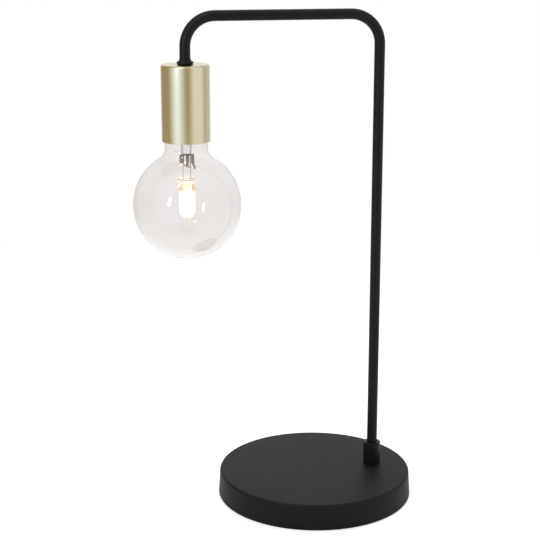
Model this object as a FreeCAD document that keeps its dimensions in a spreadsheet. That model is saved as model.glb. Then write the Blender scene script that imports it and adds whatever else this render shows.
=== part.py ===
"""Bare bulb table lamp: a round weighted base, one bent tube, a metal cup round the lampholder
and a clear globe bulb that screws in from below.

Millimetres. The origin is the centre of the base's underside on the table, +Z is up, +X points
to the pole's side and -X to the bulb's side, and the bent tube lies in the plane Y = 0.
"""
import FreeCAD, Part
import Sketcher
import math
import os
import re

V = FreeCAD.Vector

# ---------------------------------------------------------------------------- driving sizes
SIZES = {
    # base
    "pad_thickness": 1.5,
    "pad_inset": 4.0,
    "base_radius": 89.5,
    "base_taper": 1.2,
    "base_height": 23.4,
    "base_edge_round": 3.2,
    "base_lift": 0.4,
    "shell_wall": 1.5,
    "plate_thickness": 1.5,
    "plate_gap": 0.4,
    "weight_gap": 3.1,
    "weight_thickness": 8.0,
    "pillar_inset": 9.0,
    "pillar_radius": 5.0,
    "plate_screws": 3,
    "plate_screw_radius": 2.0,
    "plate_screw_head_radius": 3.8,
    "plate_screw_length": 9.0,
    "sink_land": 0.15,
    "screw_play": 0.15,
    # cord inlet at the rear of the base
    "inlet_height": 11.0,
    "inlet_bore_radius": 3.5,
    "grommet_neck_radius": 5.0,
    "grommet_flange": 1.7,
    "grommet_flange_thickness": 1.5,
    "grommet_play": 0.3,
    "grommet_gap": 0.1,
    # wiring inside the base
    "block_gap": 21.3,
    "block_length": 22.0,
    "block_width": 11.0,
    "block_height": 10.4,
    "block_screw_inset": 4.0,
    "block_screw_radius": 1.1,
    "lead_height": 6.3,
    "lead_radius": 1.1,
    "lead_spread": 1.45,
    "lead_bend": 4.0,
    "lead_play": 0.15,
    "earth_x": 22.0,
    "earth_y": 34.0,
    "earth_screw_radius": 2.0,
    "earth_screw_head_radius": 3.5,
    "earth_screw_grip": 4.0,
    "earth_hole_depth": 6.0,
    "earth_tag_radius": 4.2,
    "earth_tag_thickness": 0.8,
    "earth_tongue_length": 9.0,
    "earth_tongue_width": 4.0,
    # pole foot
    "pole_inset": 34.2,
    "collar_radius": 7.85,
    "collar_height": 21.8,
    "collar_seat": 10.4,
    "collar_chamfer": 0.5,
    "stud_radius": 4.85,
    "stud_bore_radius": 3.0,
    "stud_end": 8.0,
    "thread_play": 0.1,
    "foot_washer_radius": 9.0,
    "foot_washer_thickness": 1.5,
    "lock_washer_radius": 7.8,
    "lock_washer_thickness": 1.2,
    "foot_nut_radius": 8.6,
    "foot_nut_thickness": 2.6,
    "grub_height": 5.0,
    "grub_radius": 2.0,
    "grub_length": 2.6,
    "grub_socket_radius": 1.1,
    "grub_socket_depth": 1.4,
    # bent tube
    "tube_radius": 4.7,
    "tube_wall": 1.0,
    "tube_bend": 26.0,
    "tube_play": 0.08,
    "arm_height": 442.05,
    "arm_reach": 171.2,
    # ferrule and cup
    "cup_drop": 40.65,
    "cup_height": 66.2,
    "cup_radius": 21.1,
    "cup_wall": 1.0,
    "cup_top_thickness": 1.2,
    "cup_edge_round": 2.5,
    "ferrule_radius": 7.25,
    "ferrule_height": 4.3,
    "ferrule_seat": 2.8,
    "ferrule_lip": 0.3,
    "ferrule_foot_inset": 1.3,
    "ferrule_foot_height": 1.5,
    "ferrule_foot_round": 1.6,
    "ferrule_flare_inset": 0.8,
    "ferrule_flare_height": 2.7,
    "ferrule_flare_round": 1.8,
    "nipple_radius": 4.0,
    "nipple_bore_radius": 2.8,
    "nipple_length": 13.0,
    "cup_washer_radius": 10.0,
    "cup_washer_thickness": 1.0,
    # lampholder
    "holder_radius": 18.6,
    "holder_wall": 1.6,
    "holder_cap_height": 19.2,
    "holder_nut_radius": 7.5,
    "holder_nut_thickness": 3.0,
    "insert_thickness": 8.0,
    "skirt_length": 26.0,
    "shell_radius": 13.9,
    "shell_thickness": 0.5,
    "shell_inset": 1.0,
    "shell_window_radius": 5.5,
    "shell_play": 0.3,
    "contact_radius": 4.0,
    "contact_thickness": 0.8,
    "contact_drop": 2.3,
    "contact_stem_radius": 1.5,
    "contact_stem_seat": 3.5,
    "side_contact_offset": 10.0,
    "side_contact_width": 4.0,
    "side_contact_thickness": 0.8,
    "terminal_offset": 9.0,
    "terminal_screw_radius": 1.5,
    "terminal_head_radius": 2.8,
    "terminal_head_height": 2.2,
    "terminal_screw_depth": 5.0,
    # screw thread of the bulb
    "thread_pitch": 3.629,
    "rib_width": 1.3,
    "rib_crest": 0.7,
    "rib_height": 0.95,
    "rib_root": 0.2,
    "shell_thread_start": 1.3,
    "shell_thread_turns": 4.5,
    "bulb_thread_turns": 3.75,
    # bulb
    "bulb_gap": 0.3,
    "globe_radius": 47.5,
    "glass_wall": 0.8,
    "neck_radius": 18.7,
    "neck_fillet": 12.0,
    "neck_length": 6.5,
    "neck_end": 33.0,
    "shoulder_radius": 13.6,
    "shoulder_end": 26.3,
    "throat_radius": 11.3,
    "throat_start": 23.8,
    "throat_end": 17.4,
    "bulb_cap_radius": 12.0,
    "bulb_cap_wall": 0.4,
    "bulb_cap_start": 23.4,
    "bulb_cap_end": 5.8,
    "insulator_play": 0.2,
    "insulator_root": 2.6,
    "insulator_top_radius": 5.2,
    "tip_radius": 4.6,
    "tip_height": 1.5,
    "tip_dome": 0.6,
    "tip_pin_radius": 1.0,
    "tip_pin_length": 2.2,
    "tip_pin_play": 0.06,
    # inside the globe
    "stem_flare_radius": 10.2,
    "stem_flare_depth": 19.0,
    "stem_flare_edge": 1.0,
    "stem_flare_taper": 6.0,
    "stem_radius": 4.4,
    "stem_length": 27.0,
    "wire_radius": 0.4,
    "wire_offset": 3.3,
    "wire_play": 0.1,
    "wire_grip": 14.0,
    "wire_tail": 6.0,
    "clip_left": 6.2,
    "clip_right": 7.4,
    "clip_width": 3.0,
    "clip_thickness": 0.7,
    "clip_flag_height": 7.5,
    "clip_flag_width": 4.4,
    "clip_strut_length": 14.0,
    "clip_strut_width": 1.1,
    "pinch_top_gap": 8.3,
    "pinch_height": 12.5,
    "pinch_width": 11.2,
    "pinch_thickness": 3.8,
    "capsule_radius": 7.2,
    "capsule_wall": 1.0,
    "capsule_length": 38.0,
    "capsule_shoulder": 5.0,
    "capsule_round": 5.4,
    "capsule_tip_radius": 1.5,
    "capsule_tip_end_radius": 0.9,
    "capsule_tip_length": 3.6,
    "filament_radius": 1.4,
    "filament_length": 17.0,
    "filament_wire_radius": 0.3,
    "filament_top_gap": 10.0,
}

# ---------------------------------------------------------------------------- worked-out places
PLATE_TOP = "(pad_thickness + plate_thickness)"
PLATE_SINK = (
    "(pad_thickness + min(plate_screw_head_radius - plate_screw_radius;"
    " plate_thickness - sink_land))"
)
TOP_RADIUS = "(base_radius - base_taper)"
TOP_FLAT = f"({TOP_RADIUS} - base_edge_round)"
WEIGHT_TOP = "(base_height - shell_wall)"
WEIGHT_BOTTOM = f"({WEIGHT_TOP} - weight_thickness)"
EDGE_START = "(base_height - base_edge_round)"
WALL_SLOPE = f"(base_taper / ({EDGE_START} - base_lift))"
PLATE_WALL = f"(base_radius - {WALL_SLOPE} * ({PLATE_TOP} - base_lift))"
INLET_WALL = f"(base_radius - {WALL_SLOPE} * (inlet_height - base_lift))"
FLANGE_RADIUS = "(grommet_neck_radius + grommet_flange)"
GROMMET_EASE = (
    f"(abs({WALL_SLOPE}) * {FLANGE_RADIUS} + {FLANGE_RADIUS} ^ 2 / (2 * {INLET_WALL})"
    " + grommet_gap)"
)
GROMMET_START = f"({INLET_WALL} - shell_wall - grommet_flange_thickness - {GROMMET_EASE})"
WEIGHT_RADIUS = f"(min({TOP_FLAT}; {GROMMET_START}) - weight_gap)"
PILLAR_CIRCLE = f"({WEIGHT_RADIUS} - pillar_inset)"
POLE_X = "(base_radius - pole_inset)"
BLOCK_START = f"({POLE_X} - block_gap - block_length)"
COLLAR_TOP = "(base_height + collar_height)"
COLLAR_SEAT = "(base_height + collar_seat)"
FOOT_WASHER = f"({WEIGHT_BOTTOM} - foot_washer_thickness)"
LOCK_WASHER = f"({FOOT_WASHER} - lock_washer_thickness)"
FOOT_NUT = f"({LOCK_WASHER} - foot_nut_thickness)"

DROP_X = f"({POLE_X} - arm_reach)"
CUP_TOP = "(arm_height - cup_drop)"
CUP_BOTTOM = f"({CUP_TOP} - cup_height)"
CUP_CEILING = f"({CUP_TOP} - cup_top_thickness)"
HOLDER_TOP = f"({CUP_CEILING} - cup_washer_thickness)"
INSERT_TOP = f"({HOLDER_TOP} - holder_cap_height)"
INSERT_BOTTOM = f"({INSERT_TOP} - insert_thickness)"
SKIRT_BOTTOM = f"({INSERT_BOTTOM} - skirt_length)"
SHELL_BOTTOM = f"({SKIRT_BOTTOM} + shell_inset)"
CONTACT_FACE = f"({INSERT_BOTTOM} - contact_drop)"

BULB_TIP = f"({CONTACT_FACE} - bulb_gap)"
NECK_RISE = "sqrt((globe_radius + neck_fillet) ^ 2 - (neck_radius + neck_fillet) ^ 2)"
NECK_START = f"({BULB_TIP} - neck_end - neck_length)"
GLOBE_CENTRE = f"({NECK_START} - {NECK_RISE})"
GLOBE_BOTTOM = f"({GLOBE_CENTRE} - globe_radius)"
SHELL_THREAD = f"({SHELL_BOTTOM} + shell_thread_start)"
BULB_THREAD = f"({SHELL_THREAD} + thread_pitch / 2)"
INSULATOR_TOP = f"({BULB_TIP} - tip_height - bulb_gap)"
STEM_TOP = f"({BULB_TIP} - stem_flare_depth)"
STEM_END = f"({STEM_TOP} - stem_length)"
CLIP_BOTTOM = f"({STEM_END} - clip_thickness)"
PINCH_TOP = f"({STEM_END} - pinch_top_gap)"
PINCH_BOTTOM = f"({PINCH_TOP} - pinch_height)"
CAPSULE_BOTTOM = f"({PINCH_BOTTOM} - capsule_length)"
WIRE_END = f"({PINCH_BOTTOM} - wire_tail)"
FILAMENT_TOP = f"({PINCH_BOTTOM} - filament_top_gap)"

# ---------------------------------------------------------------------------- document and sheet
doc = FreeCAD.newDocument("bare_bulb_table_lamp")
sheet = doc.addObject("Spreadsheet::Sheet", "Sizes")
for row, (alias, value) in enumerate(SIZES.items(), 1):
    sheet.set(f"A{row}", alias)
    sheet.set(f"B{row}", str(value))
    sheet.setAlias(f"B{row}", alias)
doc.recompute()


def bound(text):
    """An expression with each size written as the sheet's own cell."""
    return re.sub(r"[a-z_]+[a-z0-9_]*", lambda word: cell(word.group()), str(text))


def cell(word):
    """The sheet's cell for a size's name; any other word, such as sqrt, stays as it is."""
    return f"Sizes.{word}" if word in SIZES else word


def number(text):
    """The value that an expression has now."""
    return float(sheet.evalExpression(bound(text)))


def plane(body, role):
    """One of a body's own origin planes or axes, found by its role."""
    return next(item for item in body.Origin.OriginFeatures if item.Role == role)


# ---------------------------------------------------------------------------- sketches
def pin(sketch, edge, end, across, up):
    """Holds one end of an edge at its two distances from the sketch's origin."""
    for kind, text, axis in (("DistanceX", across, -2), ("DistanceY", up, -1)):
        if str(text) == "0":
            sketch.addConstraint(Sketcher.Constraint("PointOnObject", edge, end, axis))
            continue
        hold = Sketcher.Constraint(kind, -1, 1, edge, end, number(text))
        sketch.setExpression(f"Constraints[{sketch.addConstraint(hold)}]", bound(text))


def arc_edge(start, finish, radius, side):
    """An arc shorter than a half circle; side is 1 where it turns left on its way, else -1."""
    chord = finish - start
    left = V(-chord.y, chord.x, 0).normalize()
    height = math.sqrt(max(radius**2 - (chord.Length / 2) ** 2, 0.0))
    centre = start + chord * 0.5 + left * height * side
    ends = (start, finish) if side > 0 else (finish, start)
    first, last = (math.atan2(p.y - centre.y, p.x - centre.x) for p in ends)
    circle = Part.Circle(centre, V(0, 0, 1), radius)
    return Part.ArcOfCircle(circle, first, last if last > first else last + 2 * math.pi)


def draw(sketch, outline, closed=True):
    """Draws an outline of (across, up) corners; a corner may add (radius, side) for an arc to it."""
    spots = [V(number(corner[0]), number(corner[1]), 0) for corner in outline]
    edges = []
    for index in range(0 if closed else 1, len(outline)):
        start, finish = spots[index - 1], spots[index]
        bend = outline[index][2:]
        if bend:
            radius, side = bend
            edge = sketch.addGeometry(arc_edge(start, finish, number(radius), side), False)
            hold = sketch.addConstraint(Sketcher.Constraint("Radius", edge, number(radius)))
            sketch.setExpression(f"Constraints[{hold}]", bound(radius))
            ends = (1, 2) if side > 0 else (2, 1)
        else:
            edge = sketch.addGeometry(Part.LineSegment(start, finish), False)
            ends = (1, 2)
        edges.append((edge, ends))
        pin(sketch, edge, ends[1], outline[index][0], outline[index][1])
    if not closed:
        pin(sketch, edges[0][0], edges[0][1][0], outline[0][0], outline[0][1])
    for index in range(0 if closed else 1, len(edges)):
        (before, before_ends), (after, after_ends) = edges[index - 1], edges[index]
        meet = Sketcher.Constraint("Coincident", before, before_ends[1], after, after_ends[0])
        sketch.addConstraint(meet)


def ring_sketch(sketch, radii, across="0", up="0"):
    """Draws circles round one centre."""
    spot = V(number(across), number(up), 0)
    for radius in radii:
        edge = sketch.addGeometry(Part.Circle(spot, V(0, 0, 1), number(radius)), False)
        hold = sketch.addConstraint(Sketcher.Constraint("Radius", edge, number(radius)))
        sketch.setExpression(f"Constraints[{hold}]", bound(radius))
        pin(sketch, edge, 3, across, up)


def new_sketch(body, name, role="XZ_Plane", shift=("0", "0", "0")):
    """A sketch on one of the body's own planes, moved in that plane's own directions."""
    sketch = body.newObject("Sketcher::SketchObject", name)
    sketch.AttachmentSupport = [(plane(body, role), "")]
    sketch.MapMode = "FlatFace"
    for axis, text in zip("xyz", shift):
        if text != "0":
            sketch.setExpression(f"AttachmentOffset.Base.{axis}", bound(text))
    doc.recompute()
    return sketch


# ---------------------------------------------------------------------------- making pieces
made = []


def keep(piece, label):
    """Marks a piece as a sub-part of its own, written to its own file."""
    piece.Label = label
    made.append(piece)
    return piece


def place(piece, x="0", y="0", z="0"):
    """Places a piece by expressions."""
    for axis, text in zip("xyz", (x, y, z)):
        if text != "0":
            piece.setExpression(f"Placement.Base.{axis}", bound(text))
    return piece


def turned(name, outline, x="0", y="0", z="0", lying=False):
    """A piece turned about its own axis from its half outline; a lying one points to the rear."""
    body = doc.addObject("PartDesign::Body", name)
    if lying:
        body.Placement = FreeCAD.Placement(V(0, 0, 0), FreeCAD.Rotation(V(1, 0, 0), -90))
    turn_in(body, name, outline, "PartDesign::Revolution")
    return place(body, x, y, z)


def turn_in(body, name, outline, kind, across="0"):
    """Adds or cuts a turned form on an upright axis of the body."""
    sketch = new_sketch(body, f"{name}_outline", shift=(across, "0", "0"))
    draw(sketch, outline)
    before = body.Shape.Volume if body.Shape.Solids else 0.0
    turn = body.newObject(kind, f"{name}_turn")
    turn.Profile = sketch
    turn.ReferenceAxis = (sketch, ["V_Axis"])
    turn.Angle = 360
    body.Tip = turn
    doc.recompute()
    change = body.Shape.Volume - before
    if (change > 0) != (kind == "PartDesign::Revolution"):
        raise RuntimeError(f"{name} changed the volume by {change:.3f}")
    return turn


def bored(body, name, radius, low, high, across="0"):
    """Cuts an upright round hole between two heights."""
    outline = [("0", low), (radius, low), (radius, high), ("0", high)]
    return turn_in(body, name, outline, "PartDesign::Groove", across)


def pocketed(body, name, radius, height):
    """Cuts a round hole through the piece's rear wall."""
    sketch = new_sketch(body, f"{name}_outline")
    ring_sketch(sketch, [radius], "0", height)
    before = body.Shape.Volume
    pocket = body.newObject("PartDesign::Pocket", name)
    pocket.Profile = sketch
    pocket.Type = "ThroughAll"
    body.Tip = pocket
    doc.recompute()
    if body.Shape.Volume >= before:
        raise RuntimeError(f"{name} cuts nothing")
    return pocket


def repeated(body, features, count):
    """Repeats features evenly round the body's upright axis."""
    pattern = body.newObject("PartDesign::PolarPattern", f"{features[0].Name}_ring")
    pattern.Originals = features
    pattern.Axis = (plane(body, "Z_Axis"), [""])
    pattern.Angle = 360
    pattern.setExpression("Occurrences", bound(count))
    body.Tip = pattern
    doc.recompute()
    return pattern


def rod(name, radius, length, x="0", y="0", z="0", turn=None):
    """A plain cylinder; turn is an (axis, degrees) pair for one that doesn't stand up."""
    piece = doc.addObject("Part::Cylinder", name)
    if turn:
        piece.Placement = FreeCAD.Placement(V(0, 0, 0), FreeCAD.Rotation(*turn))
    piece.setExpression("Radius", bound(radius))
    piece.setExpression("Height", bound(length))
    return place(piece, x, y, z)


def block(name, length, width, height, x="0", y="0", z="0"):
    """A plain block, placed by its lowest corner."""
    piece = doc.addObject("Part::Box", name)
    for side, text in (("Length", length), ("Width", width), ("Height", height)):
        piece.setExpression(side, bound(text))
    return place(piece, x, y, z)


def cut(name, base, tools):
    """Cuts tools out of a base."""
    tool = tools[0]
    if len(tools) > 1:
        tool = doc.addObject("Part::MultiFuse", f"{name}_tools")
        tool.Shapes = tools
    piece = doc.addObject("Part::Cut", name)
    piece.Base = base
    piece.Tool = tool
    doc.recompute()
    return piece


def fused(name, shapes):
    """Joins shapes to one solid."""
    piece = doc.addObject("Part::MultiFuse", name)
    piece.Shapes = shapes
    piece.Refine = True
    return piece


def grouped(name, pieces):
    """Groups like pieces as separate solids in one sub-part."""
    group = doc.addObject("Part::Compound", name)
    group.Links = pieces
    return group


def disc(low, high, outer, inner="0"):
    """The half outline of a disc or a ring."""
    return [(inner, low), (outer, low), (outer, high), (inner, high)]


def hex_nut(name, radius, thickness, bore, x, z):
    """A hexagon nut with a plain bore."""
    head = doc.addObject("Part::Prism", f"{name}_head")
    head.Polygon = 6
    head.setExpression("Circumradius", bound(radius))
    head.setExpression("Height", bound(thickness))
    place(head, x, "0", z)
    return cut(name, head, [rod(f"{name}_bore", bore, thickness, x, "0", z)])


# ---------------------------------------------------------------------------- base
def base():
    """The pad, bottom plate with its screws, shell, weight and the cord inlet's bush."""
    keep(turned("pad", disc("0", "pad_thickness", "base_radius - pad_inset")), "base_pad")

    screw_hole = "(plate_screw_radius + screw_play)"
    plate_radius = f"{PLATE_WALL} - shell_wall - plate_gap"
    plate = turned("plate", disc("pad_thickness", PLATE_TOP, plate_radius))
    sink = [
        ("0", "pad_thickness"),
        ("plate_screw_head_radius + screw_play", "pad_thickness"),
        (screw_hole, PLATE_SINK),
        (screw_hole, PLATE_TOP),
        ("0", PLATE_TOP),
    ]
    hole = turn_in(plate, "plate_hole", sink, "PartDesign::Groove", f"-{PILLAR_CIRCLE}")
    repeated(plate, [hole], "plate_screws")
    keep(plate, "base_bottom_plate")

    screw = [
        ("0", "pad_thickness"),
        ("plate_screw_head_radius", "pad_thickness"),
        ("plate_screw_radius", PLATE_SINK),
        ("plate_screw_radius", "pad_thickness + plate_screw_length"),
        ("0", "pad_thickness + plate_screw_length"),
    ]
    screws = []
    for index in range(int(SIZES["plate_screws"])):
        turn = f"(180 + 360 * {index} / plate_screws)"
        x, y = f"{PILLAR_CIRCLE} * cos({turn})", f"{PILLAR_CIRCLE} * sin({turn})"
        screws.append(turned(f"plate_screw_{index}", screw, x, y))
    keep(grouped("plate_screw_group", screws), "bottom_plate_screws")

    shell = turned(
        "shell",
        [
            ("0", "base_height"),
            (TOP_FLAT, "base_height"),
            (TOP_RADIUS, EDGE_START, "base_edge_round", -1),
            ("base_radius", "base_lift"),
            ("base_radius - shell_wall", "base_lift"),
            (f"{TOP_RADIUS} - shell_wall", EDGE_START),
            (TOP_FLAT, WEIGHT_TOP, "base_edge_round - shell_wall", 1),
            ("0", WEIGHT_TOP),
        ],
    )
    stud_hole = "stud_radius + 2 * thread_play"
    bored(shell, "stud_hole", stud_hole, WEIGHT_TOP, "base_height", POLE_X)
    pocketed(shell, "cord_hole", "grommet_neck_radius + grommet_play", "inlet_height")
    keep(shell, "base_shell")

    weight = turned("weight", disc(WEIGHT_BOTTOM, WEIGHT_TOP, WEIGHT_RADIUS))
    bored(weight, "weight_hole", stud_hole, WEIGHT_BOTTOM, WEIGHT_TOP, POLE_X)
    pillar = turn_in(
        weight,
        "pillar",
        disc(PLATE_TOP, WEIGHT_BOTTOM, "pillar_radius"),
        "PartDesign::Revolution",
        f"-{PILLAR_CIRCLE}",
    )
    tapped = bored(
        weight,
        "pillar_hole",
        screw_hole,
        PLATE_TOP,
        "pad_thickness + plate_screw_length + screw_play",
        f"-{PILLAR_CIRCLE}",
    )
    repeated(weight, [pillar, tapped], "plate_screws")
    earth_hole = rod(
        "earth_hole",
        "earth_screw_radius + screw_play",
        "earth_hole_depth",
        "earth_x",
        "earth_y",
        WEIGHT_BOTTOM,
    )
    keep(cut("drilled_weight", weight, [earth_hole]), "base_weight")

    neck_end = f"(grommet_flange_thickness + shell_wall + 2 * {GROMMET_EASE})"
    outer_end = f"({neck_end} + grommet_flange_thickness)"
    grommet = turned(
        "grommet",
        [
            ("inlet_bore_radius", "0"),
            (FLANGE_RADIUS, "0"),
            (FLANGE_RADIUS, "grommet_flange_thickness"),
            ("grommet_neck_radius", "grommet_flange_thickness"),
            ("grommet_neck_radius", neck_end),
            (FLANGE_RADIUS, neck_end),
            ("grommet_neck_radius + grommet_flange / 2", outer_end),
            ("inlet_bore_radius", outer_end),
        ],
        "0",
        GROMMET_START,
        "inlet_height",
        lying=True,
    )
    keep(grommet, "cord_grommet")


def wiring_in_base():
    """The two-way connector under the weight, its screws, and the earth screw with its tag."""
    bottom = f"({WEIGHT_BOTTOM} - block_height)"
    body = block(
        "block_body",
        "block_length",
        "block_width",
        "block_height",
        BLOCK_START,
        "-block_width / 2",
        bottom,
    )
    along = (V(0, 1, 0), 90)
    holes = []
    screws = []
    for side in ("-", "+"):
        y = f"0 {side} lead_spread"
        bore = "lead_radius + lead_play"
        name = "near" if side == "-" else "far"
        holes.append(rod(f"{name}_way", bore, "block_length", BLOCK_START, y, "lead_height", along))
        for end, x in (
            ("inner", f"{BLOCK_START} + block_screw_inset"),
            ("outer", f"{BLOCK_START} + block_length - block_screw_inset"),
        ):
            label = f"{name}_{end}"
            length = f"lead_height - lead_radius - {bottom}"
            holes.append(
                rod(f"{label}_hole", "block_screw_radius + screw_play / 2", length, x, y, bottom)
            )
            screws.append(rod(f"{label}_screw", "block_screw_radius", length, x, y, bottom))
    keep(cut("drilled_block", body, holes), "terminal_block")
    keep(grouped("block_screws", screws), "terminal_block_screws")

    tag_bottom = f"({WEIGHT_BOTTOM} - earth_tag_thickness)"
    ring = rod("tag_ring", "earth_tag_radius", "earth_tag_thickness", "earth_x", "earth_y", tag_bottom)
    tongue = block(
        "tag_tongue",
        "earth_tag_radius + earth_tongue_length",
        "earth_tongue_width",
        "earth_tag_thickness",
        "earth_x - earth_tag_radius - earth_tongue_length",
        "earth_y - earth_tongue_width / 2",
        tag_bottom,
    )
    hole = rod(
        "tag_hole",
        "earth_screw_radius + screw_play",
        "earth_tag_thickness",
        "earth_x",
        "earth_y",
        tag_bottom,
    )
    keep(cut("tag", fused("tag_blank", [ring, tongue]), [hole]), "earth_tag")
    screw = [
        ("0", "0"),
        ("earth_screw_head_radius", "0"),
        ("earth_screw_head_radius", "earth_screw_radius"),
        ("earth_screw_radius", "earth_screw_radius"),
        ("earth_screw_radius", "earth_screw_radius + earth_tag_thickness + earth_screw_grip"),
        ("0", "earth_screw_radius + earth_tag_thickness + earth_screw_grip"),
    ]
    keep(
        turned("earthing", screw, "earth_x", "earth_y", f"{tag_bottom} - earth_screw_radius"),
        "earth_screw",
    )


# ---------------------------------------------------------------------------- pole
def pole_foot():
    """The collar with its grub screw, and the stud, washers and nut that clamp it to the base."""
    collar = turned(
        "collar",
        [
            ("stud_radius + thread_play", "base_height"),
            ("collar_radius - collar_chamfer", "base_height"),
            ("collar_radius", "base_height + collar_chamfer"),
            ("collar_radius", f"{COLLAR_TOP} - collar_chamfer"),
            ("collar_radius - collar_chamfer", COLLAR_TOP),
            ("tube_radius + tube_play", COLLAR_TOP),
            ("tube_radius + tube_play", COLLAR_SEAT),
            ("stud_radius + thread_play", COLLAR_SEAT),
        ],
        POLE_X,
    )
    pocketed(collar, "grub_hole", "grub_radius + thread_play", "base_height + grub_height")
    keep(collar, "pole_collar")

    grub = turned(
        "grub",
        [
            ("0", "0"),
            ("grub_radius", "0"),
            ("grub_radius", "grub_length"),
            ("grub_socket_radius", "grub_length"),
            ("grub_socket_radius", "grub_length - grub_socket_depth"),
            ("0", "grub_length - grub_socket_depth"),
        ],
        POLE_X,
        "stud_radius + thread_play",
        "base_height + grub_height",
        lying=True,
    )
    keep(grub, "collar_grub_screw")

    stud = disc("stud_end", f"{COLLAR_SEAT} - thread_play", "stud_radius", "stud_bore_radius")
    keep(turned("stud", stud, POLE_X), "pole_foot_stud")
    washer = disc(FOOT_WASHER, WEIGHT_BOTTOM, "foot_washer_radius", "stud_radius + 2 * thread_play")
    keep(turned("washer", washer, POLE_X), "pole_foot_washer")
    lock = disc(LOCK_WASHER, FOOT_WASHER, "lock_washer_radius", "stud_radius + 2 * thread_play")
    keep(turned("lock", lock, POLE_X), "pole_foot_lock_washer")
    nut = hex_nut(
        "foot_nut",
        "foot_nut_radius",
        "foot_nut_thickness",
        "stud_radius + thread_play",
        POLE_X,
        FOOT_NUT,
    )
    keep(nut, "pole_foot_nut")


def piped(name, radii, path, x="0", y="0"):
    """A rod or tube along a path that starts upwards from its first corner."""
    body = doc.addObject("PartDesign::Body", name)
    spine = new_sketch(body, f"{name}_path")
    draw(spine, path, closed=False)
    profile = new_sketch(body, f"{name}_section", "XY_Plane", (path[0][0], "0", path[0][1]))
    ring_sketch(profile, radii)
    doc.recompute()
    pipe = body.newObject("PartDesign::AdditivePipe", f"{name}_pipe")
    pipe.Profile = profile
    pipe.Spine = (spine, [f"Edge{index}" for index in range(1, len(path))])
    body.Tip = pipe
    doc.recompute()
    length = spine.Shape.Length
    outer, inner = number(radii[0]), number(radii[1]) if len(radii) > 1 else 0.0
    expected = math.pi * (outer**2 - inner**2) * length
    if abs(body.Shape.Volume / expected - 1) > 0.002:
        raise RuntimeError(f"{name} has volume {body.Shape.Volume:.1f}, not {expected:.1f}")
    return place(body, x, y)


def tube_and_leads():
    """The bent tube, and the two leads that run through it from the connector to the holder."""
    tube_end = f"({CUP_TOP} + ferrule_seat)"
    bend_low = "(arm_height - tube_bend)"
    over = [
        ("0", bend_low),
        ("tube_bend", "arm_height", "tube_bend", -1),
        ("arm_reach - tube_bend", "arm_height"),
        ("arm_reach", bend_low, "tube_bend", -1),
    ]
    tube_path = [("0", tube_end), *over, ("arm_reach", COLLAR_SEAT)]
    radii = ["tube_radius", "tube_radius - tube_wall"]
    keep(piped("bent", radii, tube_path, DROP_X), "bent_tube")

    lead_end = f"({INSERT_TOP} - lead_radius)"
    way_end = f"({BLOCK_START} + block_length / 2 - {DROP_X})"
    lead_path = [
        ("0", lead_end),
        *over,
        ("arm_reach", "lead_height + lead_bend"),
        ("arm_reach - lead_bend", "lead_height", "lead_bend", -1),
        (way_end, "lead_height"),
    ]
    keep(piped("live", ["lead_radius"], lead_path, DROP_X, "-lead_spread"), "live_lead")
    keep(piped("neutral", ["lead_radius"], lead_path, DROP_X, "lead_spread"), "neutral_lead")


# ---------------------------------------------------------------------------- cup and lampholder
def cup():
    """The flared ferrule on the tube's end, the cup, and the nipple and washer that hold them."""
    flare_start = f"{CUP_TOP} + ferrule_flare_height"
    ferrule_top = f"{CUP_TOP} + ferrule_height"
    ferrule = [
        ("nipple_radius + thread_play", CUP_TOP),
        ("ferrule_radius - ferrule_foot_inset", CUP_TOP),
        ("ferrule_radius", f"{CUP_TOP} + ferrule_foot_height", "ferrule_foot_round", 1),
        ("ferrule_radius - ferrule_flare_inset", flare_start, "ferrule_flare_round", 1),
        ("tube_radius + tube_play + ferrule_lip", ferrule_top),
        ("tube_radius + tube_play", ferrule_top),
        ("tube_radius + tube_play", f"{CUP_TOP} + ferrule_seat"),
        ("nipple_radius + thread_play", f"{CUP_TOP} + ferrule_seat"),
    ]
    keep(turned("ferrule", ferrule, DROP_X), "tube_ferrule")

    body = [
        ("nipple_radius + 2 * thread_play", CUP_TOP),
        ("nipple_radius + 2 * thread_play", CUP_CEILING),
        ("cup_radius - cup_edge_round", CUP_CEILING),
        (
            "cup_radius - cup_wall",
            f"{CUP_CEILING} - (cup_edge_round - cup_wall)",
            "cup_edge_round - cup_wall",
            -1,
        ),
        ("cup_radius - cup_wall", CUP_BOTTOM),
        ("cup_radius", CUP_BOTTOM),
        ("cup_radius", f"{CUP_TOP} - cup_edge_round"),
        ("cup_radius - cup_edge_round", CUP_TOP, "cup_edge_round", 1),
    ]
    keep(turned("cup", body, DROP_X), "lampholder_cup")

    nipple_top = f"({CUP_TOP} + ferrule_seat - thread_play)"
    nipple = disc(f"{nipple_top} - nipple_length", nipple_top, "nipple_radius", "nipple_bore_radius")
    keep(turned("nipple", nipple, DROP_X), "holder_nipple")
    washer = disc(HOLDER_TOP, CUP_CEILING, "cup_washer_radius", "nipple_radius + 2 * thread_play")
    keep(turned("inner_washer", washer, DROP_X), "cup_washer")


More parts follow.
